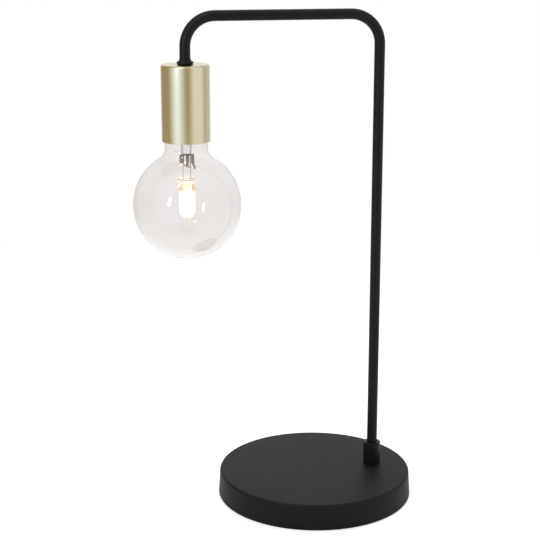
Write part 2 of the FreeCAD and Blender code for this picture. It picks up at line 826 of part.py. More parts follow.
def lampholder():
    """The holder's cap, nut, insert, skirt, screw shell, contacts and terminal screws."""
    cap = [
        ("nipple_radius + 2 * thread_play", HOLDER_TOP),
        ("nipple_radius + 2 * thread_play", f"{HOLDER_TOP} - holder_wall"),
        ("holder_nut_radius + holder_wall", f"{HOLDER_TOP} - holder_wall"),
        ("holder_radius - holder_wall", f"{HOLDER_TOP} - 2 * holder_wall"),
        ("holder_radius - holder_wall", INSERT_TOP),
        ("holder_radius", INSERT_TOP),
        ("holder_radius", f"{HOLDER_TOP} - 2 * holder_wall"),
        ("holder_radius - 2 * holder_wall", HOLDER_TOP),
    ]
    keep(turned("cap_of_holder", cap, DROP_X), "holder_cap")
    nut = hex_nut(
        "inner_nut",
        "holder_nut_radius",
        "holder_nut_thickness",
        "nipple_radius + thread_play",
        DROP_X,
        f"{HOLDER_TOP} - holder_wall - holder_nut_thickness - 2 * thread_play",
    )
    keep(nut, "holder_lock_nut")

    disc_body = rod("insert_disc", "holder_radius", "insert_thickness", DROP_X, "0", INSERT_BOTTOM)
    holes = [
        rod(
            "stem_hole",
            "contact_stem_radius + screw_play",
            "contact_stem_seat",
            DROP_X,
            "0",
            INSERT_BOTTOM,
        ),
        block(
            "strip_slot",
            "side_contact_thickness + 2 * screw_play",
            "side_contact_width + 2 * screw_play",
            "insert_thickness",
            f"{DROP_X} + side_contact_offset - screw_play",
            "-side_contact_width / 2 - screw_play",
            INSERT_BOTTOM,
        ),
    ]
    screw = [
        ("0", f"{INSERT_TOP} - terminal_screw_depth"),
        ("terminal_screw_radius", f"{INSERT_TOP} - terminal_screw_depth"),
        ("terminal_screw_radius", INSERT_TOP),
        ("terminal_head_radius", INSERT_TOP),
        ("terminal_head_radius", f"{INSERT_TOP} + terminal_head_height"),
        ("0", f"{INSERT_TOP} + terminal_head_height"),
    ]
    screws = []
    for name, side in (("front", "-"), ("rear", "+")):
        seat = f"{INSERT_TOP} - terminal_screw_depth - screw_play"
        depth = "terminal_screw_depth + screw_play"
        y = f"0 {side} terminal_offset"
        holes.append(
            rod(f"{name}_screw_hole", "terminal_screw_radius + screw_play", depth, DROP_X, y, seat)
        )
        y_lead = f"0 {side} lead_spread"
        socket = f"{INSERT_TOP} - lead_radius - lead_play"
        holes.append(
            rod(f"{name}_socket", "lead_radius + lead_play", "2 * lead_radius", DROP_X, y_lead, socket)
        )
        screws.append(turned(f"{name}_terminal", screw, DROP_X, y))
    keep(cut("drilled_insert", disc_body, holes), "holder_insert")
    keep(grouped("terminal_screws", screws), "holder_terminal_screws")

    skirt = disc(SKIRT_BOTTOM, INSERT_BOTTOM, "holder_radius", "shell_radius + shell_play")
    keep(turned("skirt", skirt, DROP_X), "holder_skirt")
    contact = [
        ("0", CONTACT_FACE),
        ("contact_radius", CONTACT_FACE),
        ("contact_radius", f"{CONTACT_FACE} + contact_thickness"),
        ("contact_stem_radius", f"{CONTACT_FACE} + contact_thickness"),
        ("contact_stem_radius", f"{INSERT_BOTTOM} + contact_stem_seat"),
        ("0", f"{INSERT_BOTTOM} + contact_stem_seat"),
    ]
    keep(turned("contact", contact, DROP_X), "centre_contact")
    strip = block(
        "strip",
        "side_contact_thickness",
        "side_contact_width",
        "insert_thickness",
        f"{DROP_X} + side_contact_offset",
        "-side_contact_width / 2",
        INSERT_BOTTOM,
    )
    keep(strip, "side_contact")


def rib(radius, outward, start, turns):
    """One helical thread rib on a wall of a given radius; outward is 1 or -1."""
    root = radius - outward * number("rib_root")
    crest = radius + outward * number("rib_height")
    wide, narrow = number("rib_width") / 2, number("rib_crest") / 2
    corners = [V(root, 0, -wide), V(root, 0, wide), V(crest, 0, narrow), V(crest, 0, -narrow)]
    pitch = number("thread_pitch")
    helix = Part.makeHelix(pitch, pitch * turns, radius)
    section = Part.makePolygon([*corners, corners[0]])
    thread = Part.Wire(helix.Edges).makePipeShell([section], True, True)
    thread.translate(V(0, 0, start))
    return thread


def threaded(name, tube_outline, radius, outward, start, turns):
    """A thin turned tube with one helical thread rib."""
    spots = [V(number(across), 0, number(up)) for across, up in tube_outline]
    tube = Part.Face(Part.makePolygon([*spots, spots[0]])).revolve(V(0, 0, 0), V(0, 0, 1), 360)
    piece = doc.addObject("Part::Feature", name)
    thread = rib(number(radius), outward, number(start), number(turns))
    joined = tube.fuse(thread).removeSplitter()
    piece.Shape = joined.Solids[0] if len(joined.Solids) == 1 else joined
    piece.Placement = FreeCAD.Placement(V(number(DROP_X), 0, 0), FreeCAD.Rotation())
    return piece


def threads():
    """The holder's screw shell and the bulb's cap, whose thread ribs lie half a pitch apart."""
    inner = "(shell_radius - shell_thickness)"
    shell = [
        (inner, SHELL_BOTTOM),
        ("shell_radius", SHELL_BOTTOM),
        ("shell_radius", INSERT_BOTTOM),
        ("shell_window_radius", INSERT_BOTTOM),
        ("shell_window_radius", f"{INSERT_BOTTOM} - shell_thickness"),
        (inner, f"{INSERT_BOTTOM} - shell_thickness"),
    ]
    screw_shell = threaded("socket", shell, inner, -1, SHELL_THREAD, "shell_thread_turns")
    keep(screw_shell, "screw_shell")

    cap_inner = "(bulb_cap_radius - bulb_cap_wall)"
    cap = disc(
        f"({BULB_TIP} - bulb_cap_start)", f"({BULB_TIP} - bulb_cap_end)", "bulb_cap_radius", cap_inner
    )
    bulb_cap = threaded("screw_cap", cap, "bulb_cap_radius", 1, BULB_THREAD, "bulb_thread_turns")
    keep(bulb_cap, "bulb_cap")


# ---------------------------------------------------------------------------- bulb
def globe():
    """The clear glass globe, its neck blended into the sphere, and its narrow throat in the cap."""
    share = "globe_radius / (globe_radius + neck_fillet)"
    meet_radius = f"((neck_radius + neck_fillet) * {share})"
    meet_height = f"({GLOBE_CENTRE} + {NECK_RISE} * {share})"
    inner_share = "(globe_radius - glass_wall) / (globe_radius + neck_fillet)"
    inner_meet_radius = f"((neck_radius + neck_fillet) * {inner_share})"
    inner_meet_height = f"({GLOBE_CENTRE} + {NECK_RISE} * {inner_share})"
    glass = [
        ("0", GLOBE_BOTTOM),
        ("globe_radius", GLOBE_CENTRE, "globe_radius", 1),
        (meet_radius, meet_height, "globe_radius", 1),
        ("neck_radius", NECK_START, "neck_fillet", -1),
        ("neck_radius", f"{BULB_TIP} - neck_end"),
        ("shoulder_radius", f"{BULB_TIP} - shoulder_end"),
        ("throat_radius", f"{BULB_TIP} - throat_start"),
        ("throat_radius", f"{BULB_TIP} - throat_end"),
        ("throat_radius - glass_wall", f"{BULB_TIP} - throat_end"),
        ("throat_radius - glass_wall", f"{BULB_TIP} - throat_start - glass_wall / 2"),
        ("shoulder_radius - glass_wall", f"{BULB_TIP} - shoulder_end - glass_wall / 2"),
        ("neck_radius - glass_wall", f"{BULB_TIP} - neck_end - glass_wall / 2"),
        ("neck_radius - glass_wall", NECK_START),
        (inner_meet_radius, inner_meet_height, "neck_fillet + glass_wall", 1),
        ("globe_radius - glass_wall", GLOBE_CENTRE, "globe_radius - glass_wall", -1),
        ("0", f"{GLOBE_BOTTOM} + glass_wall", "globe_radius - glass_wall", -1),
    ]
    keep(turned("glass", glass, DROP_X), "bulb_globe")


def cap_end():
    """The cap's insulator and the bulb's tip contact, whose pin sits in the insulator."""
    cap_top = f"({BULB_TIP} - bulb_cap_end)"
    wall = "(bulb_cap_radius - bulb_cap_wall - insulator_play)"
    hole = "(tip_pin_radius + tip_pin_play)"
    insulator = [
        ("0", f"{cap_top} - insulator_root"),
        (wall, f"{cap_top} - insulator_root"),
        (wall, f"{cap_top} + insulator_play"),
        ("insulator_top_radius", INSULATOR_TOP),
        (hole, INSULATOR_TOP),
        (hole, f"{INSULATOR_TOP} - tip_pin_length"),
        ("0", f"{INSULATOR_TOP} - tip_pin_length"),
    ]
    keep(turned("insulator", insulator, DROP_X), "cap_insulator")
    tip = [
        ("0", f"{INSULATOR_TOP} - tip_pin_length + bulb_gap"),
        ("tip_pin_radius", f"{INSULATOR_TOP} - tip_pin_length + bulb_gap"),
        ("tip_pin_radius", f"{BULB_TIP} - tip_height"),
        ("tip_radius", f"{BULB_TIP} - tip_height"),
        ("tip_radius", f"{BULB_TIP} - tip_dome"),
        ("tip_radius - 2 * tip_dome", BULB_TIP),
        ("0", BULB_TIP),
    ]
    keep(turned("tip", tip, DROP_X), "bulb_tip_contact")


def stem_and_clip():
    """The glass stem in the neck, its two wires and the metal clip that carries the capsule."""
    stem = [
        ("0", STEM_TOP),
        ("0", STEM_END),
        ("stem_radius", f"{STEM_END} + stem_radius", "stem_radius", 1),
        ("stem_radius", f"{STEM_TOP} - stem_flare_edge - stem_flare_taper"),
        ("stem_flare_radius", f"{STEM_TOP} - stem_flare_edge"),
        ("stem_flare_radius", STEM_TOP),
    ]
    blank = turned("stem_blank", stem, DROP_X)
    plate = block(
        "clip_plate",
        "clip_left + clip_right",
        "clip_width",
        "clip_thickness",
        f"{DROP_X} - clip_left",
        "-clip_width / 2",
        CLIP_BOTTOM,
    )
    flag = block(
        "clip_flag",
        "clip_flag_width",
        "clip_thickness",
        "clip_flag_height + clip_thickness",
        f"{DROP_X} - clip_left",
        "-clip_width / 2",
        f"{CLIP_BOTTOM} - clip_flag_height",
    )
    strut = block(
        "clip_strut",
        "clip_strut_width",
        "clip_thickness",
        "clip_strut_length + clip_thickness",
        f"{DROP_X} + clip_right - clip_strut_width",
        "-clip_thickness / 2",
        f"{CLIP_BOTTOM} - clip_strut_length",
    )
    band_height = "(2 * clip_thickness)"
    band_low = f"({PINCH_TOP} - 2 * {band_height})"
    band = block(
        "clip_band",
        "pinch_width / 2 + wire_play + clip_right",
        "pinch_thickness + 2 * clip_thickness + 2 * wire_play",
        band_height,
        f"{DROP_X} - pinch_width / 2 - wire_play - clip_thickness",
        "-pinch_thickness / 2 - clip_thickness - wire_play",
        band_low,
    )
    window = block(
        "clip_window",
        "pinch_width + 2 * wire_play",
        "pinch_thickness + 2 * wire_play",
        band_height,
        f"{DROP_X} - pinch_width / 2 - wire_play",
        "-pinch_thickness / 2 - wire_play",
        band_low,
    )
    ring = cut("clip_ring", band, [window])
    holes = []
    stem_holes = []
    wires = []
    for name, side in (("left", "-"), ("right", "+")):
        x = f"{DROP_X} {side} wire_offset"
        wide = "wire_radius + wire_play"
        holes.append(rod(f"{name}_clip_hole", wide, "clip_thickness", x, "0", CLIP_BOTTOM))
        stem_holes.append(rod(f"{name}_stem_hole", wide, "wire_grip + wire_play", x, "0", STEM_END))
        length = f"{STEM_END} + wire_grip - {WIRE_END}"
        wires.append(rod(f"{name}_wire", "wire_radius", length, x, "0", WIRE_END))
    keep(cut("drilled_stem", blank, stem_holes), "glass_stem")
    bracket = fused("clip_blank", [plate, flag, strut, ring])
    keep(cut("drilled_clip", bracket, holes), "capsule_clip")
    keep(grouped("wires", wires), "stem_lead_wires")


def capsule():
    """The quartz capsule: a sealed flat pinch on a round-ended tube with a small tip."""
    bore = "(capsule_radius - capsule_wall)"
    tip_top = f"({CAPSULE_BOTTOM} + capsule_tip_length)"
    low = f"({tip_top} + capsule_round)"
    high = f"({PINCH_BOTTOM} - capsule_shoulder)"
    outer = [
        ("0", CAPSULE_BOTTOM),
        ("capsule_tip_end_radius", CAPSULE_BOTTOM),
        ("capsule_tip_radius", tip_top),
        ("capsule_radius", low, "capsule_radius", 1),
        ("capsule_radius", high),
        ("pinch_thickness", PINCH_BOTTOM, "capsule_radius", 1),
        ("0", PINCH_BOTTOM),
    ]
    body = turned("quartz", outer, DROP_X)
    hollow = [
        ("0", f"{tip_top} + capsule_wall"),
        ("capsule_tip_radius", f"{tip_top} + capsule_wall"),
        (bore, f"{low} + capsule_wall / 2", bore, 1),
        (bore, high),
        ("pinch_thickness / 2", f"{PINCH_BOTTOM} - capsule_wall", "capsule_radius", 1),
        ("0", f"{PINCH_BOTTOM} - capsule_wall"),
    ]
    pinch = block(
        "pinch",
        "pinch_width",
        "pinch_thickness",
        "pinch_height + capsule_wall",
        f"{DROP_X} - pinch_width / 2",
        "-pinch_thickness / 2",
        f"{PINCH_BOTTOM} - capsule_wall",
    )
    tools = [turned("cavity", hollow, DROP_X)]
    for name, side in (("left", "-"), ("right", "+")):
        x = f"{DROP_X} {side} wire_offset"
        tools.append(
            rod(
                f"{name}_lead_hole",
                "wire_radius + wire_play",
                f"{PINCH_TOP} - {WIRE_END}",
                x,
                "0",
                WIRE_END,
            )
        )
    keep(cut("quartz_capsule", fused("quartz_blank", [body, pinch]), tools), "halogen_capsule")


def straight_rod(start, finish, radius):
    """A slim round rod from one point to another."""
    return Part.makeCylinder(radius, (finish - start).Length, start, finish - start)


def filament():
    """The coiled filament as its outer envelope, hung between the ends of the two wires."""
    radius = number("filament_wire_radius")
    side = number("wire_offset")
    top = number(FILAMENT_TOP)
    bottom = top - number("filament_length")
    wire_end = number(WIRE_END) - number("wire_play") - radius
    coil = Part.makeCylinder(number("filament_radius"), top - bottom, V(0, 0, bottom))
    left = straight_rod(V(-side, 0, wire_end), V(0, 0, top - radius), radius)
    turn = V(side, 0, bottom + radius)
    right = straight_rod(V(side, 0, wire_end), turn, radius)
    foot = straight_rod(turn, V(0, 0, bottom + radius), radius)
    knee = Part.makeSphere(radius, turn)
    piece = doc.addObject("Part::Feature", "coil")
    piece.Shape = coil.multiFuse([left, right, foot, knee]).removeSplitter().Solids[0]
    piece.Placement = FreeCAD.Placement(V(number(DROP_X), 0, 0), FreeCAD.Rotation())
    keep(piece, "filament")


# ---------------------------------------------------------------------------- build and write
def check():
    """Stops if any object failed or any sub-part has no valid solid."""
    doc.recompute()
    for item in doc.Objects:
        faults = [word for word in item.State if word in ("Invalid", "Error")]
        if faults:
            raise RuntimeError(f"{item.Label}: {faults} {item.getStatusString()}")
    for piece in made:
        shape = piece.Shape
        if shape.isNull() or not shape.isValid() or not shape.Solids:
            raise RuntimeError(f"{piece.Label} has no valid solid")


def write():
    """Writes each sub-part to its own file."""
    os.makedirs("parts", exist_ok=True)
    for piece in made:
        piece.Shape.exportStep(f"parts/{piece.Label}.step")
        solids = len(piece.Shape.Solids)
        print(f"{piece.Label}: {solids} solid(s), {piece.Shape.Volume:.1f} mm3")


base()
wiring_in_base()
pole_foot()
tube_and_leads()
cup()
lampholder()
threads()
globe()
cap_end()
stem_and_clip()
capsule()
filament()
check()
write()
print(f"{len(made)} sub-parts")
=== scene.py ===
"""Bare bulb table lamp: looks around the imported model. Metres, in the model's own frame:
+Z up, +X towards the pole, -X towards the bulb, +Y to the rear."""

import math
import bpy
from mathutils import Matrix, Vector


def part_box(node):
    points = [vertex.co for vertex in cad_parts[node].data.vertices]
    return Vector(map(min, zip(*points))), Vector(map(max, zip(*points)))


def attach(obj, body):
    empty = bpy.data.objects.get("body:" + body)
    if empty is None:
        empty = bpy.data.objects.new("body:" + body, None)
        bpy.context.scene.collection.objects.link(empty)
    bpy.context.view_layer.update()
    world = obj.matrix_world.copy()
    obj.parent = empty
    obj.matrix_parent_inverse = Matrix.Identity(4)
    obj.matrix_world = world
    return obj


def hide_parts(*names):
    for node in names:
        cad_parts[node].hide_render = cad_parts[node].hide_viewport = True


bl_info = {
    "name": "Bare bulb table lamp",
    "version": (1, 0, 0),
    "blender": (4, 5, 0),
    "location": "View3D > Sidebar > Lamp",
    "description": "Builds a bent-tube table lamp with a metal cup and a clear globe bulb",
    "category": "Add Mesh",
}

import bpy
from mathutils import Vector

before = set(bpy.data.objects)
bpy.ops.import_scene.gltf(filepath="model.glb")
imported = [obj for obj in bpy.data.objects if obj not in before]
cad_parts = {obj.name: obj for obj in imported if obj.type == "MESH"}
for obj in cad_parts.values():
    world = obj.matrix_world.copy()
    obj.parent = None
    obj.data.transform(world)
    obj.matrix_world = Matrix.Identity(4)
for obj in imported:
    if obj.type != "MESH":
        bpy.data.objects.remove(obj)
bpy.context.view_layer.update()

MM = 0.001
SHARP_TURN = math.radians(35)

# the room round the drop, in degrees: how far its middle is turned from the front, where its
# wall ends to either side, and its shades as (degrees to the pole's side of the middle, colour)
ROOM_TURN = -6.4
ROOM_SIDE = 166
DIM_ROOM = (0.49, 0.42, 0.29)
WINDOW_LIGHT = (1.30, 1.50, 2.15)
WHITE_PANEL = (1.08, 1.08, 1.26)
GREY_WALL = (0.74, 0.76, 0.85)
BACKDROP = (0.95, 0.95, 0.95)
ROOM_SHADES = (
    (-ROOM_SIDE, BACKDROP), (-146, DIM_ROOM), (-84, DIM_ROOM), (-46, WINDOW_LIGHT),
    (-36, WINDOW_LIGHT), (4, DIM_ROOM), (15, DIM_ROOM), (38, WHITE_PANEL), (74, WHITE_PANEL),
    (104, GREY_WALL), (146, GREY_WALL), (ROOM_SIDE, BACKDROP),
)


# ------------------------------------------------------------------ places read from the model's parts
def centre_of(node):
    """The middle of a node's box."""
    low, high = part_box(node)
    return (low + high) / 2


def half_width(node):
    """Half of a node's size from left to right."""
    low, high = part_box(node)
    return (high.x - low.x) / 2


POLE_X = centre_of("pole_collar").x
DROP_X = centre_of("lampholder_cup").x
TUBE_LOW, TUBE_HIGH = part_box("bent_tube")
TUBE_RADIUS = (TUBE_HIGH.y - TUBE_LOW.y) / 2
ARM_HEIGHT = TUBE_HIGH.z - TUBE_RADIUS
GLOBE_LOW, GLOBE_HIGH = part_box("bulb_globe")
CAPSULE_LOW, CAPSULE_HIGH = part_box("halogen_capsule")


# ------------------------------------------------------------------ settings
class LampShape(bpy.types.PropertyGroup):
    """Sizes that the boxes of the model's parts don't give."""

    base_top_radius: bpy.props.FloatProperty(
        name="Base top radius", description="Radius of the base at its upper edge",
        default=0.0883, unit="LENGTH")
    base_edge_round: bpy.props.FloatProperty(
        name="Base edge rounding", description="Radius of the rounded upper edge of the base",
        default=0.0022, unit="LENGTH")
    base_wall: bpy.props.FloatProperty(
        name="Base wall", description="Thickness of the base's pressed shell",
        default=0.0015, unit="LENGTH")
    tube_bend: bpy.props.FloatProperty(
        name="Tube bend", description="Radius of both bends, to the tube's centre line",
        default=0.026, unit="LENGTH")
    tube_wall: bpy.props.FloatProperty(
        name="Tube wall", description="Wall thickness of the tube", default=0.001, unit="LENGTH")
    cup_edge_round: bpy.props.FloatProperty(
        name="Cup edge rounding", description="Radius of the cup's rounded upper edge",
        default=0.0018, unit="LENGTH")
    cup_wall: bpy.props.FloatProperty(
        name="Cup wall", description="Wall thickness of the cup", default=0.001, unit="LENGTH")
    globe_radius: bpy.props.FloatProperty(
        name="Globe radius", description="Outer radius of the glass globe",
        default=0.0475, unit="LENGTH")
    neck_radius: bpy.props.FloatProperty(
        name="Neck radius", description="Outer radius of the bulb's neck",
        default=0.0187, unit="LENGTH")
    neck_blend: bpy.props.FloatProperty(
        name="Neck blend", description="Radius of the hollow curve between neck and globe",
        default=0.012, unit="LENGTH")
    glass_wall: bpy.props.FloatProperty(
        name="Glass wall", description="Wall thickness of the globe", default=0.0008,
        unit="LENGTH")
    coil_turns: bpy.props.IntProperty(
        name="Filament turns", description="Turns of the filament's coil", default=17)
    round_steps: bpy.props.IntProperty(
        name="Steps round", description="Steps round each turned piece", default=160)


class LampFinish(bpy.types.PropertyGroup):
    """Colours and gloss of the visible surfaces."""

    coat_colour: bpy.props.FloatVectorProperty(
        name="Black coat", description="Colour of the satin black coat", subtype="COLOR", size=3,
        default=(0.0085, 0.0085, 0.0095))
    base_colour: bpy.props.FloatVectorProperty(
        name="Base coat", description="Colour of the base's black coat", subtype="COLOR", size=3,
        default=(0.0112, 0.0094, 0.0094))
    coat_gloss: bpy.props.FloatProperty(
        name="Coat gloss", description="Specular level of the black coat", default=0.16,
        subtype="FACTOR")
    coat_roughness: bpy.props.FloatProperty(
        name="Coat roughness", description="Roughness of the black coat", default=0.36,
        subtype="FACTOR")
    cup_colour: bpy.props.FloatVectorProperty(
        name="Cup metal", description="Colour of the satin champagne brass", subtype="COLOR",
        size=3, default=(0.67, 0.595, 0.365))
    cup_roughness: bpy.props.FloatProperty(
        name="Cup roughness", description="Roughness of the cup", default=0.22, subtype="FACTOR")
    glass_colour: bpy.props.FloatVectorProperty(
        name="Globe glass", description="Tint of the clear glass", subtype="COLOR", size=3,
        default=(0.905, 0.885, 0.875))
    glow_colour: bpy.props.FloatVectorProperty(
        name="Glow", description="Colour of the lit filament's light", subtype="COLOR", size=3,
        default=(1.0, 0.72, 0.42))


class LampStudio(bpy.types.PropertyGroup):
    """Camera and lights."""

    camera_place: bpy.props.FloatVectorProperty(
        name="Camera place", description="Where the camera stands", subtype="TRANSLATION", size=3,
        default=(-0.24774, -1.16985, 0.52766))
    camera_turn: bpy.props.FloatProperty(
        name="Camera turn", description="Turn of the camera towards the pole", subtype="ANGLE",
        default=math.radians(9.969))
    camera_tilt: bpy.props.FloatProperty(
        name="Camera tilt", description="Tilt of the camera below the horizon", subtype="ANGLE",
        default=math.radians(14.699))
    camera_lens: bpy.props.FloatProperty(
        name="Lens", description="Focal length in millimetres on a 36 mm sensor", default=91.09)
    room_level: bpy.props.FloatProperty(
        name="Room level", description="Light of the surroundings on matt surfaces", default=0.55)
    window_power: bpy.props.FloatProperty(
        name="Window", description="Power of the tall narrow light on the left in watts",
        default=2.2)
    spot_power: bpy.props.FloatProperty(
        name="Small lamp", description="Power of the small high lamp in watts", default=2.4)
    top_power: bpy.props.FloatProperty(
        name="Top light", description="Power of the wide light overhead in watts", default=14.0)


SETTINGS = {"lamp_shape": LampShape, "lamp_finish": LampFinish, "lamp_studio": LampStudio}


# ------------------------------------------------------------------ mesh helpers
def new_object(name, vertices, faces):
    """A mesh object with smooth faces, and sharp edges where they turn by SHARP_TURN or more."""
    mesh = bpy.data.meshes.new(name)
    mesh.from_pydata(vertices, [], faces)
    mesh.validate()
    mesh.shade_smooth()
    mesh.set_sharp_from_angle(angle=SHARP_TURN)
    piece = bpy.data.objects.new(name, mesh)
    bpy.context.scene.collection.objects.link(piece)
    return piece


def arc(across, up, radius, start, end, steps=12):
    """Points of an arc round a centre, with angles in degrees from the outward direction."""
    points = []
    for step in range(steps + 1):
        angle = math.radians(start + (end - start) * step / steps)
        points.append((across + radius * math.cos(angle), up + radius * math.sin(angle)))
    return points


def turned(name, outline, x, steps):
    """A turned piece: a closed half outline of (radius, height) swept round an upright axis."""
    vertices, rings = [], []
    for radius, height in outline:
        if radius < 1e-7:
            rings.append([len(vertices)])
            vertices.append((x, 0.0, height))
            continue
        rings.append(range(len(vertices), len(vertices) + steps))
        for step in range(steps):
            angle = 2 * math.pi * step / steps
            vertices.append((x + radius * math.cos(angle), radius * math.sin(angle), height))
    faces = []
    for index, ring in enumerate(rings):
        after = rings[(index + 1) % len(rings)]
        if len(ring) == 1 and len(after) == 1:
            continue
        for step in range(steps):
            turn = (step + 1) % steps
            if len(ring) == 1:
                faces.append((ring[0], after[turn], after[step]))
            elif len(after) == 1:
                faces.append((ring[step], ring[turn], after[0]))
            else:
                faces.append((ring[step], ring[turn], after[turn], after[step]))
    return new_object(name, vertices, faces)


def piped(name, spots, radius, steps=48, inner=0.0):
    """A round rod or tube along a line of points, kept square to the line."""
    spots = [Vector(spot) for spot in spots]
    vertices, loops = [], []
    side = None
    for index, spot in enumerate(spots):
        ahead = spots[min(index + 1, len(spots) - 1)] - spots[max(index - 1, 0)]
        ahead.normalize()
        if side is None:
            side = ahead.orthogonal().normalized()
        side = (side - ahead * side.dot(ahead)).normalized()
        across = ahead.cross(side)
        for reach in (radius, inner) if inner else (radius,):
            loops.append(range(len(vertices), len(vertices) + steps))
            for step in range(steps):
                angle = 2 * math.pi * step / steps
                offset = side * math.cos(angle) + across * math.sin(angle)
                vertices.append(tuple(spot + offset * reach))
    faces = []
    stride = 2 if inner else 1
    for index in range(0, len(loops) - stride, stride):
        for layer in range(stride):
            here, after = loops[index + layer], loops[index + stride + layer]
            for step in range(steps):
                turn = (step + 1) % steps
                face = (here[step], here[turn], after[turn], after[step])
                faces.append(face if layer == 0 else face[::-1])
    if inner:
        for outer_ring, inner_ring, flip in ((*loops[:2], 1), (*loops[-2:], -1)):
            for step in range(steps):
                turn = (step + 1) % steps
                face = (outer_ring[turn], outer_ring[step], inner_ring[step], inner_ring[turn])
                faces.append(face[::flip])
    else:
        faces.append(tuple(loops[0])[::-1])
        faces.append(tuple(loops[-1]))
    return new_object(name, vertices, faces)


def bevelled_block(name, low, high, bevel):
    """A block between two corners with small rounded edges."""
    vertices = [(x, y, z) for x in (low[0], high[0]) for y in (low[1], high[1])
                for z in (low[2], high[2])]
    faces = [(0, 1, 3, 2), (4, 6, 7, 5), (0, 4, 5, 1), (2, 3, 7, 6), (0, 2, 6, 4), (1, 5, 7, 3)]
    piece = new_object(name, vertices, faces)
    rounding = piece.modifiers.new("rounded edges", "BEVEL")
    rounding.width = bevel
    rounding.segments = 3
    return settled(piece)


def settled(piece):
    """Applies a piece's modifiers to its mesh."""
    graph = bpy.context.evaluated_depsgraph_get()
    mesh = bpy.data.meshes.new_from_object(piece.evaluated_get(graph))
    piece.modifiers.clear()
    piece.data = mesh
    return piece


def combined(piece, other, operation):
    """Cuts another mesh out of a piece, or joins it on, and removes the other."""
    change = piece.modifiers.new("combined", "BOOLEAN")
    change.operation = operation
    change.solver = "EXACT"
    change.object = other
    bpy.context.view_layer.update()
    settled(piece)
    bpy.data.objects.remove(other)
    piece.data.shade_smooth()
    piece.data.set_sharp_from_angle(angle=SHARP_TURN)


def dress(piece, finish):
    """Gives a piece the material of a finish alone."""
    piece.data.materials.clear()
    piece.data.materials.append(FINISH[finish])


def finish_piece(piece, finish, body, slot, *nodes):
    """Gives a piece its finish and the body it rides on, and hides the nodes it stands for; slot
    is not used.
    """
    dress(piece, finish)
    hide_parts(*nodes)
    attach(piece, body)


# ------------------------------------------------------------------ shader groups
def new_group(name, inputs, outputs):
    """A shader node group with named sockets; returns it with its input and output nodes."""
    group = bpy.data.node_groups.new(name, "ShaderNodeTree")
    for label, kind, value in inputs:
        socket = group.interface.new_socket(label, in_out="INPUT", socket_type=kind)
        socket.default_value = value
    for label, kind in outputs:
        group.interface.new_socket(label, in_out="OUTPUT", socket_type=kind)
    return group, group.nodes.new("NodeGroupInput"), group.nodes.new("NodeGroupOutput")


def plug(tree, socket, value):
    """Links a socket to another node's output, or sets it to a value."""
    if isinstance(value, bpy.types.NodeSocket):
        tree.links.new(value, socket)
    else:
        socket.default_value = value


def feed(tree, node, **values):
    """Plugs a node's inputs by name, where an underscore stands for a space; returns the node."""
    for key, value in values.items():
        plug(tree, node.inputs[key.replace("_", " ")], value)
    return node


def object_place(tree):
    """The place on an object, in the object's own frame."""
    return tree.nodes.new("ShaderNodeTexCoord").outputs["Object"]


def math_node(tree, operation, first, second, clamp=False):
    """A math node fed by sockets or numbers; returns its output."""
    node = tree.nodes.new("ShaderNodeMath")
    node.operation = operation
    node.use_clamp = clamp
    plug(tree, node.inputs[0], first)
    plug(tree, node.inputs[1], second)
    return node.outputs[0]


def noise_node(tree, scale, detail, place, roughness=0.5):
    """A noise texture at a place; returns its grey output."""
    node = tree.nodes.new("ShaderNodeTexNoise")
    feed(tree, node, Scale=scale, Detail=detail, Roughness=roughness, Vector=place)
    return node.outputs[0]


def grain_group():
    """Fine grain of a coated or blasted surface: a height, and a slow cloudiness."""
    group, given, made = new_group(
        "Fine grain",
        [("Scale", "NodeSocketFloat", 900.0), ("Cloud Scale", "NodeSocketFloat", 18.0),
         ("Cloud Amount", "NodeSocketFloat", 0.1)],
        [("Height", "NodeSocketFloat"), ("Cloud", "NodeSocketFloat")])
    place = object_place(group)
    fine = noise_node(group, given.outputs["Scale"], 3.0, place)
    slow = noise_node(group, given.outputs["Cloud Scale"], 3.0, place)
    centred = math_node(group, "SUBTRACT", slow, 0.5)
    scaled = math_node(group, "MULTIPLY", centred, given.outputs["Cloud Amount"])
    cloud = math_node(group, "ADD", scaled, 1.0)
    group.links.new(fine, made.inputs["Height"])
    group.links.new(cloud, made.inputs["Cloud"])
    return group


def dust_group():
    """Thin dust that lies on faces that look up."""
    group, given, made = new_group(
        "Thin dust",
        [("Amount", "NodeSocketFloat", 0.2), ("Scale", "NodeSocketFloat", 60.0)],
        [("Mask", "NodeSocketFloat")])
    normal = group.nodes.new("ShaderNodeNewGeometry").outputs["Normal"]
    split = group.nodes.new("ShaderNodeSeparateXYZ")
    group.links.new(normal, split.inputs[0])
    up = math_node(group, "MAXIMUM", split.outputs["Z"], 0.0)
    specks = noise_node(group, given.outputs["Scale"], 6.0, object_place(group), 0.65)
    lifted = math_node(group, "MULTIPLY", math_node(group, "SUBTRACT", specks, 0.42), 3.0, True)
    mask = math_node(group, "MULTIPLY", math_node(group, "MULTIPLY", up, lifted),
                     given.outputs["Amount"])
    group.links.new(mask, made.inputs["Mask"])
    return group


def group_node(tree, group, **values):
    """Places a node group and plugs its inputs."""
    node = tree.nodes.new("ShaderNodeGroup")
    node.node_tree = group
    return feed(tree, node, **values)


def place_axes(tree):
    """The X, Y and Z outputs of the place on an object."""
    split = tree.nodes.new("ShaderNodeSeparateXYZ")
    tree.links.new(object_place(tree), split.inputs[0])
    return split.outputs


def smooth_step(tree, value, low, high):
    """A mask that rises smoothly from 0 to 1 as a value goes from low to high."""
    node = tree.nodes.new("ShaderNodeMapRange")
    node.interpolation_type = "SMOOTHSTEP"
    return feed(tree, node, Value=value, From_Min=low, From_Max=high).outputs["Result"]


